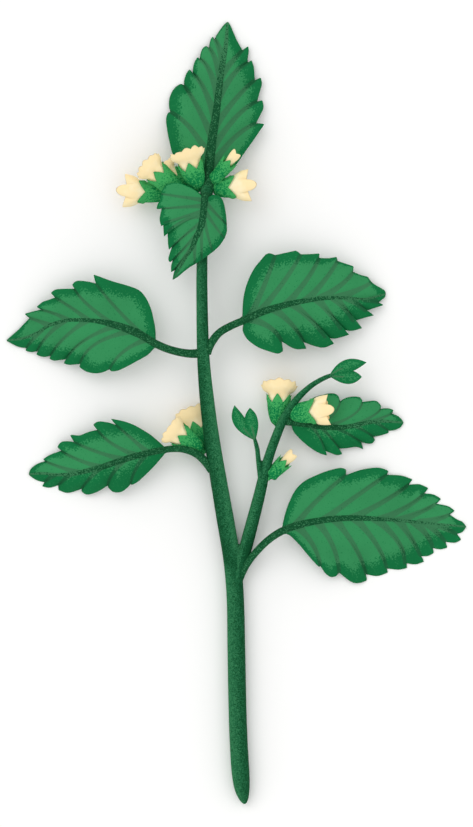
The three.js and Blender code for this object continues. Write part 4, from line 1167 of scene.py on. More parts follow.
class SideOutline:
    """The outline of one side of a blade, and where the strips to its teeth start on the midrib."""

    def __init__(self, midrib, edge):
        self.edge = edge
        self.count = len(edge.teeth) + 1
        self.starts = [edge.base] + [tooth.notch for tooth in edge.teeth]
        shares = np.linspace(0, 1, MIDRIB_SAMPLES)
        plan = midrib(shares)[:, :2]
        self.ribs = [0.0]
        for tooth in edge.teeth:
            root = shares[np.argmin(np.linalg.norm(plan - tooth.root, axis=1))]
            self.ribs.append(float(np.clip(root, self.ribs[-1] + LEAST_STRIP, LAST_VEIN)))
        self.ribs.append(1.0)
        self.bows = [edge.teeth[0].bow] + [tooth.bow for tooth in edge.teeth] + [0.0]
        arcs = [tooth.arc + [tooth.tip] for tooth in edge.teeth] + [edge.last_arc + [tuple(plan[-1])]]
        t = np.linspace(0, 1, ARC_STEPS)
        strips = [TOOTH_STRIP] * len(edge.teeth) + [1.0]
        self.points = np.vstack([Path([start] + arc).at(t) for start, arc in zip(self.starts, arcs)])
        self.passed = np.concatenate([i + strip * t for i, strip in enumerate(strips)])

    def column_shares(self):
        """Shares of the midrib where a column of faces starts, the veins first."""
        gaps = zip(self.ribs[1:], self.ribs[2:])
        later = [mix(start, end, place) for start, end in gaps for place in TOOTH_PLACES]
        first = self.ribs[1] * np.linspace(0, 1, FIRST_ARC_COLUMNS)
        return self.ribs, later + list(first)

    def passed_at(self, shares):
        return np.interp(shares, self.ribs, range(self.count + 1))

    def bow_at(self, shares):
        return np.interp(shares, self.ribs, self.bows)

    def veins(self, strip):
        """Points along the side veins, and for each how far it is from the midrib in veins' lengths."""
        t = np.linspace(0, 1, VEIN_SAMPLES)
        return np.vstack([strip(share, t) for share in self.ribs[1:-1]]), np.tile(t, self.count - 1)


class Outline:
    """A blade's outline, from one side of its base round its tip, with the tips of its teeth rounded."""

    def __init__(self, halves, rounding):
        first, second = halves
        points = np.vstack([first.points, second.points[::-1][1:]])
        run = np.concatenate([[0], np.cumsum(np.linalg.norm(np.diff(points, axis=0), axis=1))])
        keep = np.concatenate([[True], np.diff(run) > 1e-6])
        even = np.arange(0, run[-1], OUTLINE_STEP)
        line = np.stack([np.interp(even, run[keep], points[keep, k]) for k in (0, 1)], axis=1)
        reach = int(4 * rounding / OUTLINE_STEP)
        weights = np.exp(-0.5 * (np.arange(-reach, reach + 1) * OUTLINE_STEP / rounding) ** 2)
        weights /= weights.sum()
        before = 2 * line[0] - line[reach:0:-1]
        after = 2 * line[-1] - line[-2 : -reach - 2 : -1]
        padded = np.vstack([before, line, after])
        soft = np.stack([np.convolve(padded[:, k], weights, "valid") for k in (0, 1)], axis=1)
        notches = np.vstack([half.starts for half in halves])
        distance, _ = nearest_to(near(notches), line)
        self.line = mix(line, soft, ramp(distance, *ROUNDED)[:, None])
        self.even = even
        self.total = run[-1]
        self.runs = (run[: len(first.points)], self.total - run[::-1][: len(second.points)])
        self.halves = halves
        self.tip = self.at(0, np.array([first.count]))[0]

    def at(self, side, passed):
        run = np.interp(passed, self.halves[side].passed, self.runs[side])
        if side:
            run = self.total - run
        return np.stack([np.interp(run, self.even, self.line[:, k]) for k in (0, 1)], axis=1)


def chosen_shares(halves):
    """The columns of a blade: every vein, and the other places that keep a gap from those before them."""
    must = sorted({share for half in halves for share in half.column_shares()[0]})
    may = [share for half in halves for share in half.column_shares()[1]]
    taken = list(must)
    for share in sorted(may):
        if min(abs(share - other) for other in taken) > COLUMN_GAP:
            taken.append(share)
    return np.array(sorted(taken))


def soft_max(a, b, softness):
    return (a + b + np.sqrt((a - b) ** 2 + softness**2)) / 2


def ridge(distance, radius):
    """The height of a round ridge, and a steep fall beyond it."""
    inside = np.sqrt(np.maximum(radius**2 - distance**2, 0))
    return inside - RIDGE_FALL * np.maximum(distance - radius, 0)


class Blade:
    """What the halves of a leaf share: its midrib, its outline and where its columns start on the midrib."""

    def __init__(self, leaf, look):
        self.line = Path(leaf.petiole + leaf.midrib)
        self.joint = self.line.shares[len(leaf.petiole) * CENTRE_STEPS]
        self.halves = [SideOutline(self.midrib, edge) for edge in leaf.edges]
        self.outline = Outline(self.halves, look.rounding / MM)
        self.shares = chosen_shares(self.halves)
        self.centre = self.midrib(self.shares)
        shift = self.outline.tip - self.midrib(1.0)[:2]
        self.centre[:, :2] += shift * ramp(self.shares, TIP_PART, 1)[:, None]
        self.ahead = unit(self.line.forward(mix(self.joint, 1, self.shares))[:, :2])
        self.radius = table_at(leaf.rib_radii[1:], self.shares)
        self.edges = [self.edge_at(side, self.shares) for side in (0, 1)]
        self.spans = [np.linalg.norm(edge - self.centre[:, :2], axis=1) for edge in self.edges]
        self.bladed = ramp(sum(self.spans) / 2, self.radius, BLADED * self.radius)

    def midrib(self, shares):
        return self.line.at(mix(self.joint, 1, np.asarray(shares, float)))

    def edge_at(self, side, shares):
        return self.outline.at(side, self.halves[side].passed_at(shares))


class HalfBlade:
    """One half of a blade, as columns of points that run from the midrib to the margin."""

    def __init__(self, blade, side, look):
        self.blade = blade
        self.side = side
        self.half = blade.halves[side]
        self.look = look
        span = blade.spans[side]
        out = unit(blade.edges[side] - blade.centre[:, :2])
        out[span < 1e-4] = out[np.flatnonzero(span >= 1e-4)[-1]]
        slant = np.abs(blade.ahead[:, 0] * out[:, 1] - blade.ahead[:, 1] * out[:, 0])
        self.lean = np.clip(slant, LEAST_LEAN, 1)
        self.rib = np.minimum(blade.radius, span)
        self.rim = np.minimum(look.margin_thickness / MM / 2, RIM_SHARE * span)
        self.out = out
        self.span = span
        self.bladed = blade.bladed[:, None]
        self.turns, self.away = self.rows()
        self.t = self.away / np.maximum(span, 1e-6)[:, None]
        self.plan = self.bent()

    def rows(self):
        """How far from the midrib the points lie, and their turns round it where there is no blade yet."""
        crest = np.minimum(RIDGE_FOOT * self.rib / self.lean, 0.5 * self.span)
        flat = [crest * j / RIDGE_ROWS for j in range(RIDGE_ROWS + 1)]
        flat += [mix(crest, self.span - self.rim, j / BLADE_ROWS) for j in range(1, BLADE_ROWS + 1)]
        flat += [self.span - self.rim * (1 - np.sin(turn)) for turn in RIM_TURNS]
        flat = np.stack(flat, axis=1)
        turns = np.linspace(0, math.pi / 2, flat.shape[1])
        return turns, mix(self.span[:, None] * np.sin(turns), flat, self.bladed)

    def bent(self):
        """The points in the plan. Each column bends forward as the side veins beside it do."""
        blade = self.blade
        bow = (self.half.bow_at(blade.shares) * self.span * blade.bladed)[:, None]
        forward = bow * 4 * self.t * (1 - self.t)
        straight = blade.centre[:, None, :2] + self.out[:, None] * self.away[..., None]
        return straight + blade.ahead[:, None] * forward[..., None]

    def vein(self, share, places):
        """Points of the side vein that starts at a share of the midrib."""
        blade = self.blade
        column = np.argmin(np.abs(blade.shares - share))
        start = blade.centre[column][:2]
        end = blade.edge_at(self.side, np.array([share]))[0]
        reach = np.linalg.norm(end - start)
        bend = (self.half.bow_at(share) * reach * 4 * places * (1 - places))[:, None]
        return mix(start, end, places[:, None]) + blade.ahead[column] * bend

    def vein_distances(self, width):
        """How far the points are from the nearest side vein, in millimetres and in its own half widths."""
        points, places = self.half.veins(self.vein)
        distance, index = nearest_to(near(points), self.plan.reshape(-1, 2))
        narrow = width * (1 - VEIN_TAPER * places[index])
        wide = narrow * (1 + VEIN_FLARE * np.exp(-self.away.ravel() / FLARE_REACH))
        return distance.reshape(self.t.shape), (distance / wide).reshape(self.t.shape)

    def margin(self):
        """How far into the painted shade along the margin the points are: 1 on the edge, and 0 where it ends.
        """
        places = np.linspace(0, self.half.count, MARGIN_SAMPLES)
        edge = self.blade.outline.at(self.side, places)
        distance, index = nearest_to(near(edge), self.plan.reshape(-1, 2))
        width = table_at(self.half.edge.shade, index / MARGIN_SAMPLES).reshape(self.t.shape)
        inward = distance.reshape(self.t.shape) / np.maximum(width, 0.1)
        return np.clip(1 - inward, 0, 1) * self.bladed

    def middle(self):
        """The height of the middle of the blade, and half its thickness."""
        blade, look, t = self.blade, self.look, self.t
        passed = self.half.passed_at(blade.shares)
        height = table_at(self.half.edge.heights, passed / self.half.count)[:, None]
        middle = mix(blade.centre[:, 2:], height, t**DROOP)
        middle += look.wave / MM * t**2 * (np.abs(np.sin(math.pi * passed)) - 0.5)[:, None] * self.bladed
        middle += look.camber / MM * np.sin(math.pi * t) * np.sin(math.pi * blade.shares**0.6)[:, None]
        rim = look.margin_thickness / MM / 2
        thin = mix(look.thickness / MM / 2, rim, t)
        thin *= np.minimum(1, self.rim / rim)[:, None]
        thin[:, -3:] *= np.cos(RIM_TURNS)
        return np.maximum(middle, thin + TABLE_GAP), thin

    def sides(self, to_vein, vein):
        """The heights of the upper and of the under side, which meet on the margin."""
        look = self.look
        middle, thin = self.middle()
        free = np.sin(math.pi * np.clip(self.t, 0, 1)) * ramp(self.away, *RIB_CLEAR)
        swell = look.quilting / MM * (1 - np.exp(-((to_vein / SWELL_REACH) ** 2))) * free
        groove = np.exp(-(vein**2)) * free
        level = np.maximum(self.blade.centre[:, 2], self.rib)[:, None]
        bump = ridge(self.to_rib(), self.rib[:, None])
        top = middle + thin + swell - look.vein_depth / MM * groove
        top = soft_max(top, level + bump, RIDGE_FILLET)
        under = middle - thin + UNDER_SWELL * swell - look.vein_height / MM * groove
        under = -soft_max(-under, -(level - bump), RIDGE_FILLET)
        hoop = self.blade.radius[:, None] * np.cos(self.turns)
        top = mix(level + hoop, top, self.bladed)
        under = np.maximum(mix(level - hoop, under, self.bladed), 0)
        meeting = (top[:, -1] + under[:, -1]) / 2
        top[:, -1] = meeting
        under[:, -1] = meeting
        top[-1] = under[-1] = level[-1]
        return top, under

    def to_rib(self):
        """How far the points are from the middle of the midrib, straight across it."""
        return self.away * self.lean[:, None]


def leaf_mesh(leaf, look):
    """A whole leaf: petiole, midrib and toothed blade in one closed skin."""
    blade = Blade(leaf, look)
    petiole = petiole_rings(blade.line, blade.joint, leaf.rib_radii[0], blade.radius[0])
    sheets = Sheets()
    seam = None
    for side in (0, 1):
        half = HalfBlade(blade, side, look)
        to_vein, vein = half.vein_distances(leaf.vein_width)
        top, under = half.sides(to_vein, vein)
        if seam:
            top[:, 0], under[:, 0] = seam
        seam = (top[:, 0].copy(), under[:, 0].copy())
        marks = {"margin": half.margin(), "vein": vein, "rib": half.to_rib() / blade.radius[:, None]}
        left_or_right = half_turn(blade.ahead[0], half.out[0])
        for face, heights in ((1, top), (-1, under)):
            tube = petiole(half.turns, left_or_right, face)
            surface = np.concatenate([half.plan, heights[..., None]], axis=2)
            whole = {
                key: np.concatenate([np.full(tube.shape[:2], PETIOLE_MARKS[key]), value])
                for key, value in marks.items()
            }
            before = np.linspace(-1, 0, len(tube), endpoint=False)
            whole["share"] = np.concatenate([before, blade.shares])[:, None]
            sheets.add(np.concatenate([tube, surface]), **whole)
    return sheets.joined(leaf.node, placed)


def half_turn(ahead, out):
    """1 if out points to the left of ahead, or -1 if to its right."""
    return 1 if ahead[0] * out[1] - ahead[1] * out[0] > 0 else -1


def petiole_rings(line, joint, root_radius, base_radius):
    """The petiole, as a function that gives the rings of one half of it, above (1) or below (-1)."""
    count = max(8, int(line.length * joint / PETIOLE_STEP))
    steps = np.linspace(0, 1, count, endpoint=False)
    centre = line.at(joint * steps)
    course = line.forward(joint * steps)
    level = np.linalg.norm(course[:, :2], axis=1)[:, None]
    blade_course = unit(line.forward(np.array([joint]))[:, :2])
    blade_left = np.stack([-blade_course[:, 1], blade_course[:, 0], [0.0]], axis=1)
    own_left = np.stack([-course[:, 1], course[:, 0], np.zeros(count)], axis=1)
    left = unit(mix(blade_left, unit(own_left), level**2))
    up = unit(np.cross(course, left))
    left = np.cross(up, course)
    from_root = steps * line.length * joint
    radius = mix(root_radius, base_radius, steps) * (1 + ROOT_FLARE * np.exp(-from_root / ROOT_FLARE_REACH))
    radius[0] = 0

    def rings(turns, side, face):
        aside = left[:, None] * (radius[:, None] * np.sin(turns) * side)[..., None]
        above = up[:, None] * (radius[:, None] * np.cos(turns) * face)[..., None]
        return centre[:, None] + aside + above

    return rings


# Young leaves

# Lengths are in millimetres, and places along a leaf are shares of its length.
YOUNG_STATIONS = 44
YOUNG_COLUMNS = 15
THICK_ROOT = 0.5  # how much more half a leaf's thickness is at its root
THICK_ROOT_REACH = 0.08
CREST = 0.14  # how far the midline stands out on top
CREST_WIDTH = 0.35
MIDLINE_WIDTH = 0.28
MIDLINE_END = (0.3, 0.6)  # where the pale of the midline begins to fade, and is gone
YOUNG_MARGIN = 1.6  # how far in from the edge the light specks are fewer


def arc_through(start, middle, end, t):
    """A curve of the plan from start to end that passes middle halfway."""
    start, middle, end = (np.array(point[:2]) for point in (start, middle, end))
    control = 2 * middle - (start + end) / 2
    t = t[:, None]
    return (1 - t) ** 2 * start + 2 * t * (1 - t) * control + t**2 * end


def young_mesh(pair, look):
    """Two young leaves that grow from one root, each a thin folded blade."""
    stations = np.linspace(0, 1, YOUNG_STATIONS) ** 1.1
    across = np.sin(np.linspace(-1, 1, YOUNG_COLUMNS) * math.pi / 2)
    inward = (1 - across**2)[None, :]
    sheets = Sheets()
    for tip, outside, inside in pair.leaves:
        outer = arc_through(pair.root, outside, tip, stations)
        inner = arc_through(pair.root, inside, tip, stations)
        width = np.linalg.norm(outer - inner, axis=1)[:, None]
        plan = mix(outer[:, None], inner[:, None], ((across + 1) / 2)[None, :, None])
        height = mix(pair.root[2], tip[2], stations)[:, None]
        body = np.sin(math.pi * stations)[:, None]
        middle = height + look.fold / MM * body * np.cos(math.pi * across)[None, :]
        from_middle = np.abs(across)[None, :] * width / 2
        from_edge = (1 - np.abs(across))[None, :] * width / 2
        thin = look.thickness / MM / 2 * np.sqrt(inward) * np.minimum(1, width / 1.2)
        thick_root = THICK_ROOT * np.exp(-stations / THICK_ROOT_REACH)[:, None]
        thin += thick_root * np.sqrt(inward) * (stations > 0)[:, None]
        crest = CREST * np.exp(-((from_middle / CREST_WIDTH) ** 2)) * body * inward
        margin = 1 - np.minimum(from_edge / YOUNG_MARGIN, 1)
        rib = from_middle / MIDLINE_WIDTH + 3 * ramp(stations, *MIDLINE_END)[:, None]
        for surface in (middle + thin + crest, middle - thin):
            sheets.add(np.concatenate([plan, surface[..., None]], axis=2), margin=margin, rib=rib)
    return sheets.joined(pair.node, placed)


# Stem

# Lengths and places are in millimetres, as in the tables.
STEM_STEP = 0.8
STEM_SIDES = 40
STEM_SAMPLES = 600
SMOOTH_ROUNDS = 6
# FORK and FORK_REACH place the painted shade round the fork, and say how far it spreads.
FORK = (4.0, -46.0)
FORK_REACH = 9.0  # how far the dark of the fork spreads
# Where the painted light and the painted shade change sides on the main stem.
LIGHT_CROSSES = (-56, -40)  # from here up, in y, the light side of the main stem is its right one
LIGHT_CROSSES_BACK = (30, 10)  # and up to here


def line_mesh(name, line):
    """A centre line as a run of edges whose points carry their radius."""
    path = Path(line)
    steps = int(path.length / STEM_STEP)
    rows = path.at(np.linspace(0, 1, steps))
    mesh = bpy.data.meshes.new(name)
    points = placed(rows[:, :3])
    mesh.from_pydata(points.tolist(), [(i, i + 1) for i in range(steps - 1)], [])
    mark(mesh, "radius", rows[:, 3] * MM)
    return mesh


def stem_mesh(look, material):
    """The main stem, the side branch and the twig as one grown skin, soft where they fork."""
    tree = sweep_tree()
    values = {"Sides": STEM_SIDES, "Squareness": look.squareness, "Material": material}
    work = bmesh.new()
    for name, line in (("main", MAIN_STEM), ("branch", SIDE_BRANCH), ("twig", TWIG)):
        tube = grown(line_mesh(name, line), tree, values)
        work.from_mesh(tube)
        bpy.data.meshes.remove(tube)
    bmesh.ops.remove_doubles(work, verts=work.verts, dist=1e-6)
    bmesh.ops.recalc_face_normals(work, faces=work.faces)
    mesh = bpy.data.meshes.new("stem_skin")
    work.to_mesh(mesh)
    work.free()
    holder = hold(mesh)
    remesh = holder.modifiers.new("Remesh", "REMESH")
    remesh.mode = "VOXEL"
    remesh.voxel_size = look.fineness * 1
    smooth = holder.modifiers.new("Smooth", "SMOOTH")
    smooth.factor = 0.5
    smooth.iterations = SMOOTH_ROUNDS // 1
    made = finished(holder)
    close_up(made)
    mark_stem(made)
    return made


def mark_stem(mesh):
    """Marks how far each point is on the side of its stem that takes painted shade, and how near it is to the
    fork, round which painted shade also goes.

    The painted shade is on the right side and the painted light on the left, except along the main stem's
    stretch above the fork.
    """
    points = (coordinates(mesh) - plan_shift()) / MM
    shares = np.linspace(0, 1, STEM_SAMPLES)
    rows = np.vstack([Path(line).at(shares) for line in (MAIN_STEM, SIDE_BRANCH, TWIG)])
    _, index = nearest_to(near(rows[:, :2]), points[:, :2])
    on_main_stem = index < STEM_SAMPLES
    side = (points[:, 0] - rows[index, 0]) / np.maximum(rows[index, 3], 0.1)
    turned = ramp(points[:, 1], *LIGHT_CROSSES) * ramp(points[:, 1], *LIGHT_CROSSES_BACK)
    side *= 1 - 2 * turned * on_main_stem
    from_fork = np.linalg.norm(points[:, :2] - FORK, axis=1)
    # Painted shade round the fork, kept to the stem's shaded side.
    fork = np.exp(-((from_fork / FORK_REACH) ** 2))
    mark(mesh, "side", side)
    mark(mesh, "fork", fork * ramp(side, -1, 0.6))


# Blooms

# Lengths are in millimetres.
TUBE_RADIUS = 1.15
STALK_RADIUS = 0.75
LEAST_RADIUS = 0.02
SEAT_GAP = 0.3  # between the petals and the inside of the calyx
LEAST_CALYX = TUBE_RADIUS + SEAT_GAP + 0.6  # the calyx's smallest half width round the tube
BLUNTNESS = 0.06  # how round the tips of the calyx's teeth are
NERVES = 3  # for each tooth
CALYX_COLUMNS = 21
CALYX_ROWS = 48
LOBE_COLUMNS = 21
FAN_LOBE_COLUMNS = 11
PETAL_ROWS = 34


def sector_mesh(count, columns, rows):
    """One sector of a flat two-faced disc. Its points know how near its middle and how far up it they are."""
    across = np.linspace(-1, 1, columns)[None, :]
    up = np.linspace(0, 1, rows)[:, None]
    turn = across * math.pi / count
    sheets = Sheets()
    for inside in (0, 1):
        lift = (0.5 - inside) * (1 - up**6) * np.ones_like(turn)
        sheet = np.stack([up * np.cos(turn), up * np.sin(turn), lift], axis=2)
        sheets.add(sheet, middle=1 - np.abs(across), up=up, inside=float(inside))
    return sheets.joined("sector")


def cup_mesh(ring, material, sector, first_angle, profiles, shape, top):
    """A cup with teeth or lobes, made of one sector that a ring tree repeats.

    sector is the number of sectors, and the columns and rows of each. profiles are the outer and the inner
    one, of (radius, height, swing) from the axis to the rim. shape gives how far a point that swings goes out
    and up, from its angle and its place between two notches. In the end each point knows how far up it is, as
    a share of top.
    """
    values = {"Count": sector[0], "First angle": first_angle, "Material": material}
    mesh = grown(sector_mesh(*sector), ring, values)
    points = coordinates(mesh)
    angle = np.arctan2(points[:, 1], points[:, 0])
    up = marked(mesh, "up")
    outer, inner = (Path(profile).at(up) for profile in profiles)
    radius, height, swing = np.where(marked(mesh, "inside")[:, None] > 0.5, inner, outer).T
    out, rise = shape(angle, marked(mesh, "middle"), np.clip(swing, 0, 1))
    radius = np.where(up > 0.001, np.maximum(radius + out, LEAST_RADIUS), 0)
    made = np.stack([radius * np.cos(angle), radius * np.sin(angle), height + rise], axis=1)
    mesh.vertices.foreach_set("co", made.ravel())
    mesh.attributes["up"].data.foreach_set("value", np.clip(made[:, 2] / top, 0, 1).astype(np.float32))
    mesh.update()
    return mesh


def bloom_frame(bloom):
    """The bloom's own axes (aside, up and along, as rows), the foot of its calyx and the calyx's height."""
    root = np.array(bloom.root)
    mouth = np.array(bloom.mouth)
    along = unit(mouth - root)
    aside = unit(np.cross((0, 0, 1), along))
    foot = root + along * bloom.start
    return np.stack([aside, np.cross(along, aside), along]), foot, np.linalg.norm(mouth - root) - bloom.start


def stand_bloom(mesh, bloom):
    """Flattens a bloom's cup and turns it into its place on the sprig."""
    axes, foot, _ = bloom_frame(bloom)
    points = (coordinates(mesh) * (1, bloom.flat, 1)) @ axes + foot
    points[:, 2] = np.maximum(points[:, 2], TABLE_GAP)
    mesh.vertices.foreach_set("co", placed(points).ravel())
    close_up(mesh)
    return mesh


def calyx_mesh(bloom, ring, look, material):
    """A calyx on its stalk, with its teeth round the mouth."""
    kind = KINDS[bloom.kind]
    _, _, height = bloom_frame(bloom)
    wall = look.wall / MM
    notch = height - kind.tooth

    def width(share):
        return max(LEAST_CALYX, share * bloom.calyx)

    outer = [
        (0, -bloom.start, 0),
        (STALK_RADIUS, -bloom.start + 0.1, 0),
        (STALK_RADIUS, -0.5 * bloom.start, 0),
        (STALK_RADIUS + 0.1, -0.1, 0),
        (width(0.5), 0.14 * notch, 0),
        (width(0.74), 0.38 * notch, 0),
        (width(0.87), 0.68 * notch, 0),
        (width(0.94), notch, 0),
        (width(0.94), notch + 0.05, 1),
    ]
    inner = [
        (0, 0.54 * notch, 0),
        (width(0.74) - wall - 0.1, 0.6 * notch, 0),
        (width(0.87) - wall, 0.78 * notch, 0),
        (width(0.94) - wall, notch, 0),
        (width(0.94), notch + 0.05, 1),
    ]

    def shape(angle, tip, swing):
        blunt = (1 - np.hypot(1 - tip, BLUNTNESS)) / (1 - BLUNTNESS)
        nerve = look.nerve / MM * np.cos(math.pi * NERVES * (1 - tip)) * ramp(tip, 0, 0.2)
        return kind.splay * bloom.calyx * blunt * swing + nerve, swing * blunt * kind.tooth

    sector = (kind.teeth, CALYX_COLUMNS, CALYX_ROWS)
    cup = cup_mesh(ring, material, sector, kind.first_tooth, (outer, inner), shape, height)
    return stand_bloom(cup, bloom)


def lobed(angle, kind, lobes, notches, full):
    """A value given for each lobe and for the notch after it, at each angle. full is 1 amid a lobe."""
    place = (angle - kind.first_lobe) * len(lobes) / (2 * math.pi)
    at_lobe = np.array(lobes)[np.round(place).astype(int) % len(lobes)]
    at_notch = np.array(notches)[np.floor(place).astype(int) % len(lobes)]
    return mix(at_notch, at_lobe, full)


def bud_profiles(foot, notch, height, bloom, look):
    """The outer and the inner profile of petals that are still closed."""
    petals, reach = bloom.petals, bloom.reach
    wall = look.petal_thickness / MM
    outer = [
        (0, foot, 0),
        (0.8 * TUBE_RADIUS, foot + 0.1, 0),
        (0.9 * TUBE_RADIUS, notch, 0),
        (0.85 * petals, height, 0),
        (petals, height + 0.55 * reach, 0.2),
        (petals, height + reach, 1),
    ]
    inner = [
        (0, height + 0.2 * reach, 0),
        (0.6 * petals - wall, height + 0.25 * reach, 0),
        (0.9 * petals - wall, height + 0.5 * reach, 0.2),
        (petals - wall, height + 0.75 * reach, 0.6),
        (petals, height + reach, 1),
    ]
    return outer, inner


def open_profiles(foot, notch, height, bloom, look):
    """The outer and the inner profile of petals that spread from a narrow tube."""
    petals, reach = bloom.petals, bloom.reach
    wall = look.petal_thickness / MM
    room = max(0.94 * bloom.calyx - look.wall / MM - SEAT_GAP, TUBE_RADIUS)
    collar = room + 0.85 * KINDS[bloom.kind].splay * bloom.calyx
    outer = [
        (0, foot, 0),
        (0.8 * TUBE_RADIUS, foot + 0.1, 0),
        (0.95 * TUBE_RADIUS, foot + 0.4 * (notch - foot), 0),
        (room, notch + 0.2, 0),
        (collar, height + 0.1, 0.05),
        (mix(collar, petals, 0.7), height + 0.45 * reach, 0.4),
        (petals, height + reach, 1),
    ]
    inner = [
        (0, foot + 0.5 * (notch - foot), 0),
        (0.6 * TUBE_RADIUS, foot + 0.6 * (notch - foot), 0),
        (room - wall, notch + 0.3, 0),
        (collar - wall, height + 0.3, 0.05),
        (mix(collar, petals, 0.7) - 0.8 * wall, height + 0.45 * reach + 0.3, 0.4),
        (petals, height + reach, 1),
    ]
    return outer, inner


def corolla_mesh(bloom, ring, look, material):
    """A corolla that stands in its calyx, with lobes of unlike reach round its rim."""
    kind = KINDS[bloom.kind]
    _, _, height = bloom_frame(bloom)
    notch = height - kind.tooth
    profiles = bud_profiles if bloom.kind == "bud" else open_profiles
    lobes = len(kind.reaches)
    random = np.random.default_rng(sum(map(ord, bloom.name)))
    uneven = random.uniform(1 - kind.uneven, 1 + kind.uneven, lobes)

    def shape(angle, tip, swing):
        far = lobed(angle, kind, np.array(kind.reaches) * uneven, kind.cuts, np.sin(math.pi / 2 * tip))
        wide = lobed(angle, kind, kind.spreads, kind.waists, np.sqrt(tip * (2 - tip)))
        folds = look.ruffle / MM * swing**2 * np.cos(angle * lobes * 2) if bloom.kind == "fan" else 0
        return swing * bloom.petals * (wide - 1) + folds, swing * bloom.reach * (far - 1)

    sector = (lobes, FAN_LOBE_COLUMNS if bloom.kind == "fan" else LOBE_COLUMNS, PETAL_ROWS)
    walls = profiles(0.5 * notch + SEAT_GAP, notch, height, bloom, look)
    cup = cup_mesh(ring, material, sector, kind.first_lobe, walls, shape, height + bloom.reach)
    return stand_bloom(cup, bloom)


# Stage

SUN_FROM = (-0.55, 0.6, 1.0)
SUN_WIDTH = math.radians(40)
SENSOR_WIDTH = 36  # in mm, across the picture's longer side


def lay_floor(look):
    half = look.floor_size / 2
    mesh = bpy.data.meshes.new("floor")
    corners = [(-half, -half, 0), (half, -half, 0), (half, half, 0), (-half, half, 0)]
    mesh.from_pydata(corners, [], [(0, 1, 2, 3)])
    paper = Finish("paper", 0.9, 0.1)
    pale = paper.blend(paper.cloud(80 * MM), look.floor, [channel * 0.99 for channel in look.floor])
    mesh.materials.append(paper.done(pale, paper.cloud(1.2 * MM), 0.05, 0.05 * MM))
    floor = bpy.data.objects.new("floor", mesh)
    bpy.context.scene.collection.objects.link(floor)


def set_light(look):
    """Even light all round, and a soft sun from the upper left."""
    scene = bpy.context.scene
    world = bpy.data.worlds.new("sky")
    world.use_nodes = True
    background = world.node_tree.nodes["Background"]
    background.inputs["Color"].default_value = (1, 1, 1, 1)
    background.inputs["Strength"].default_value = look.sky
    scene.world = world
    sun = bpy.data.lights.new("sun", "SUN")
    sun.energy = look.sun
    sun.angle = SUN_WIDTH
    lamp = bpy.data.objects.new("sun", sun)
    lamp.rotation_euler = Vector(SUN_FROM).to_track_quat("Z", "Y").to_euler()
    scene.collection.objects.link(lamp)
    scene.view_settings.view_transform = "Standard"


def place_camera(look):
    """A camera straight above, so far up that the picture's height fits its view."""
    scene = bpy.context.scene
    camera = bpy.data.cameras.new("camera")
    camera.lens = look.lens
    camera.sensor_width = SENSOR_WIDTH
    camera.clip_start = 0.1
    camera.clip_end = 20
    distance = PICTURE_HEIGHT * PIXEL * camera.lens / camera.sensor_width
    middle_x = (PICTURE_WIDTH / 2 - PLAN_ORIGIN[0]) * PIXEL
    middle_y = (PLAN_ORIGIN[1] - PICTURE_HEIGHT / 2) * PIXEL
    shift = plan_shift()
    eye = bpy.data.objects.new("camera", camera)
    eye.location = (middle_x + shift[0], middle_y + shift[1], look.height + distance)
    scene.collection.objects.link(eye)
    scene.camera = eye


# Operators


class SPRIG_OT_stem(bpy.types.Operator):
    """Grow the stem with its side branch and twig"""

    bl_idname = "sprig.stem"
    bl_label = "Grow the stem"

    def execute(self, context):
        material = stem_material(context.scene.sprig_stem, context.scene.sprig_leaf)
        add_piece("grown_stem", stem_mesh(context.scene.sprig_stem, material), "stem", material)
        return {"FINISHED"}


class SPRIG_OT_leaves(bpy.types.Operator):
    """Grow the seven toothed leaves"""

    bl_idname = "sprig.leaves"
    bl_label = "Grow the leaves"

    def execute(self, context):
        look = context.scene.sprig_leaf
        material = leaf_material(look)
        for leaf in LEAVES:
            add_piece("grown_" + leaf.node, leaf_mesh(leaf, look), leaf.node, material)
        return {"FINISHED"}


class SPRIG_OT_young_leaves(bpy.types.Operator):
    """Grow the two pairs of young leaves"""

    bl_idname = "sprig.young_leaves"
    bl_label = "Grow the young leaves"

    def execute(self, context):
        look = context.scene.sprig_young
        material = young_leaf_material(look, context.scene.sprig_leaf)
        for pair in YOUNG_PAIRS:
            add_piece("grown_" + pair.node, young_mesh(pair, look), pair.node, material)
        return {"FINISHED"}


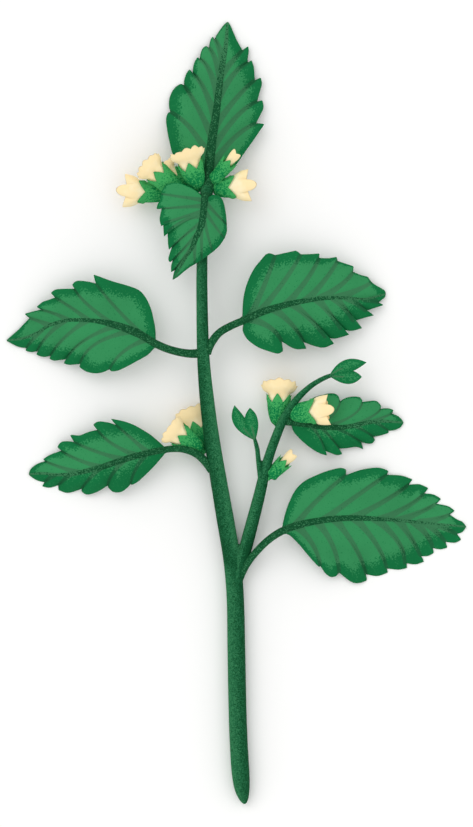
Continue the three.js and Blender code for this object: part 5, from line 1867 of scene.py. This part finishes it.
class SPRIG_OT_blooms(bpy.types.Operator):
    """Grow the eleven blooms, each a calyx and a corolla"""

    bl_idname = "sprig.blooms"
    bl_label = "Grow the blooms"

    def execute(self, context):
        look = context.scene.sprig_bloom
        ring = ring_tree()
        green = calyx_material(look, context.scene.sprig_leaf)
        cream = petal_material(look, context.scene.sprig_leaf)
        for bloom in BLOOMS:
            calyx = calyx_mesh(bloom, ring, look, green)
            add_piece("cup_" + bloom.name, calyx, "calyx_" + bloom.name, green)
            petals = corolla_mesh(bloom, ring, look, cream)
            add_piece("petals_" + bloom.name, petals, "corolla_" + bloom.name, cream)
        return {"FINISHED"}


class SPRIG_OT_stage(bpy.types.Operator):
    """Lay the floor, set the light and place the camera over the sprig"""

    bl_idname = "sprig.stage"
    bl_label = "Set the stage"

    def execute(self, context):
        look = context.scene.sprig_stage
        lay_floor(look)
        set_light(look)
        place_camera(look)
        return {"FINISHED"}


class SPRIG_PT_panel(bpy.types.Panel):
    bl_idname = "SPRIG_PT_panel"
    bl_label = "Lemon Balm Sprig"
    bl_space_type = "VIEW_3D"
    bl_region_type = "UI"
    bl_category = "Sprig"

    def draw(self, context):
        for operator, look in PARTS:
            box = self.layout.box()
            box.operator(operator.bl_idname)
            group = getattr(context.scene, look)
            for key in group.__annotations__:
                box.prop(group, key)


PARTS = [
    (SPRIG_OT_stage, "sprig_stage"),
    (SPRIG_OT_stem, "sprig_stem"),
    (SPRIG_OT_leaves, "sprig_leaf"),
    (SPRIG_OT_young_leaves, "sprig_young"),
    (SPRIG_OT_blooms, "sprig_bloom"),
]

LOOKS = {
    "sprig_stage": SprigStageLook,
    "sprig_stem": SprigStemLook,
    "sprig_leaf": SprigLeafLook,
    "sprig_young": SprigYoungLook,
    "sprig_bloom": SprigBloomLook,
}


def register():
    for key, look in LOOKS.items():
        bpy.utils.register_class(look)
        setattr(bpy.types.Scene, key, bpy.props.PointerProperty(type=look))
    for operator, _ in PARTS:
        bpy.utils.register_class(operator)
    bpy.utils.register_class(SPRIG_PT_panel)


def unregister():
    bpy.utils.unregister_class(SPRIG_PT_panel)
    for operator, _ in PARTS:
        bpy.utils.unregister_class(operator)
    for key, look in LOOKS.items():
        delattr(bpy.types.Scene, key)
        bpy.utils.unregister_class(look)


def main():
    register()
    bpy.ops.sprig.stage()
    bpy.ops.sprig.stem()
    bpy.ops.sprig.leaves()
    bpy.ops.sprig.young_leaves()
    bpy.ops.sprig.blooms()


if __name__ == "__main__":
    main()
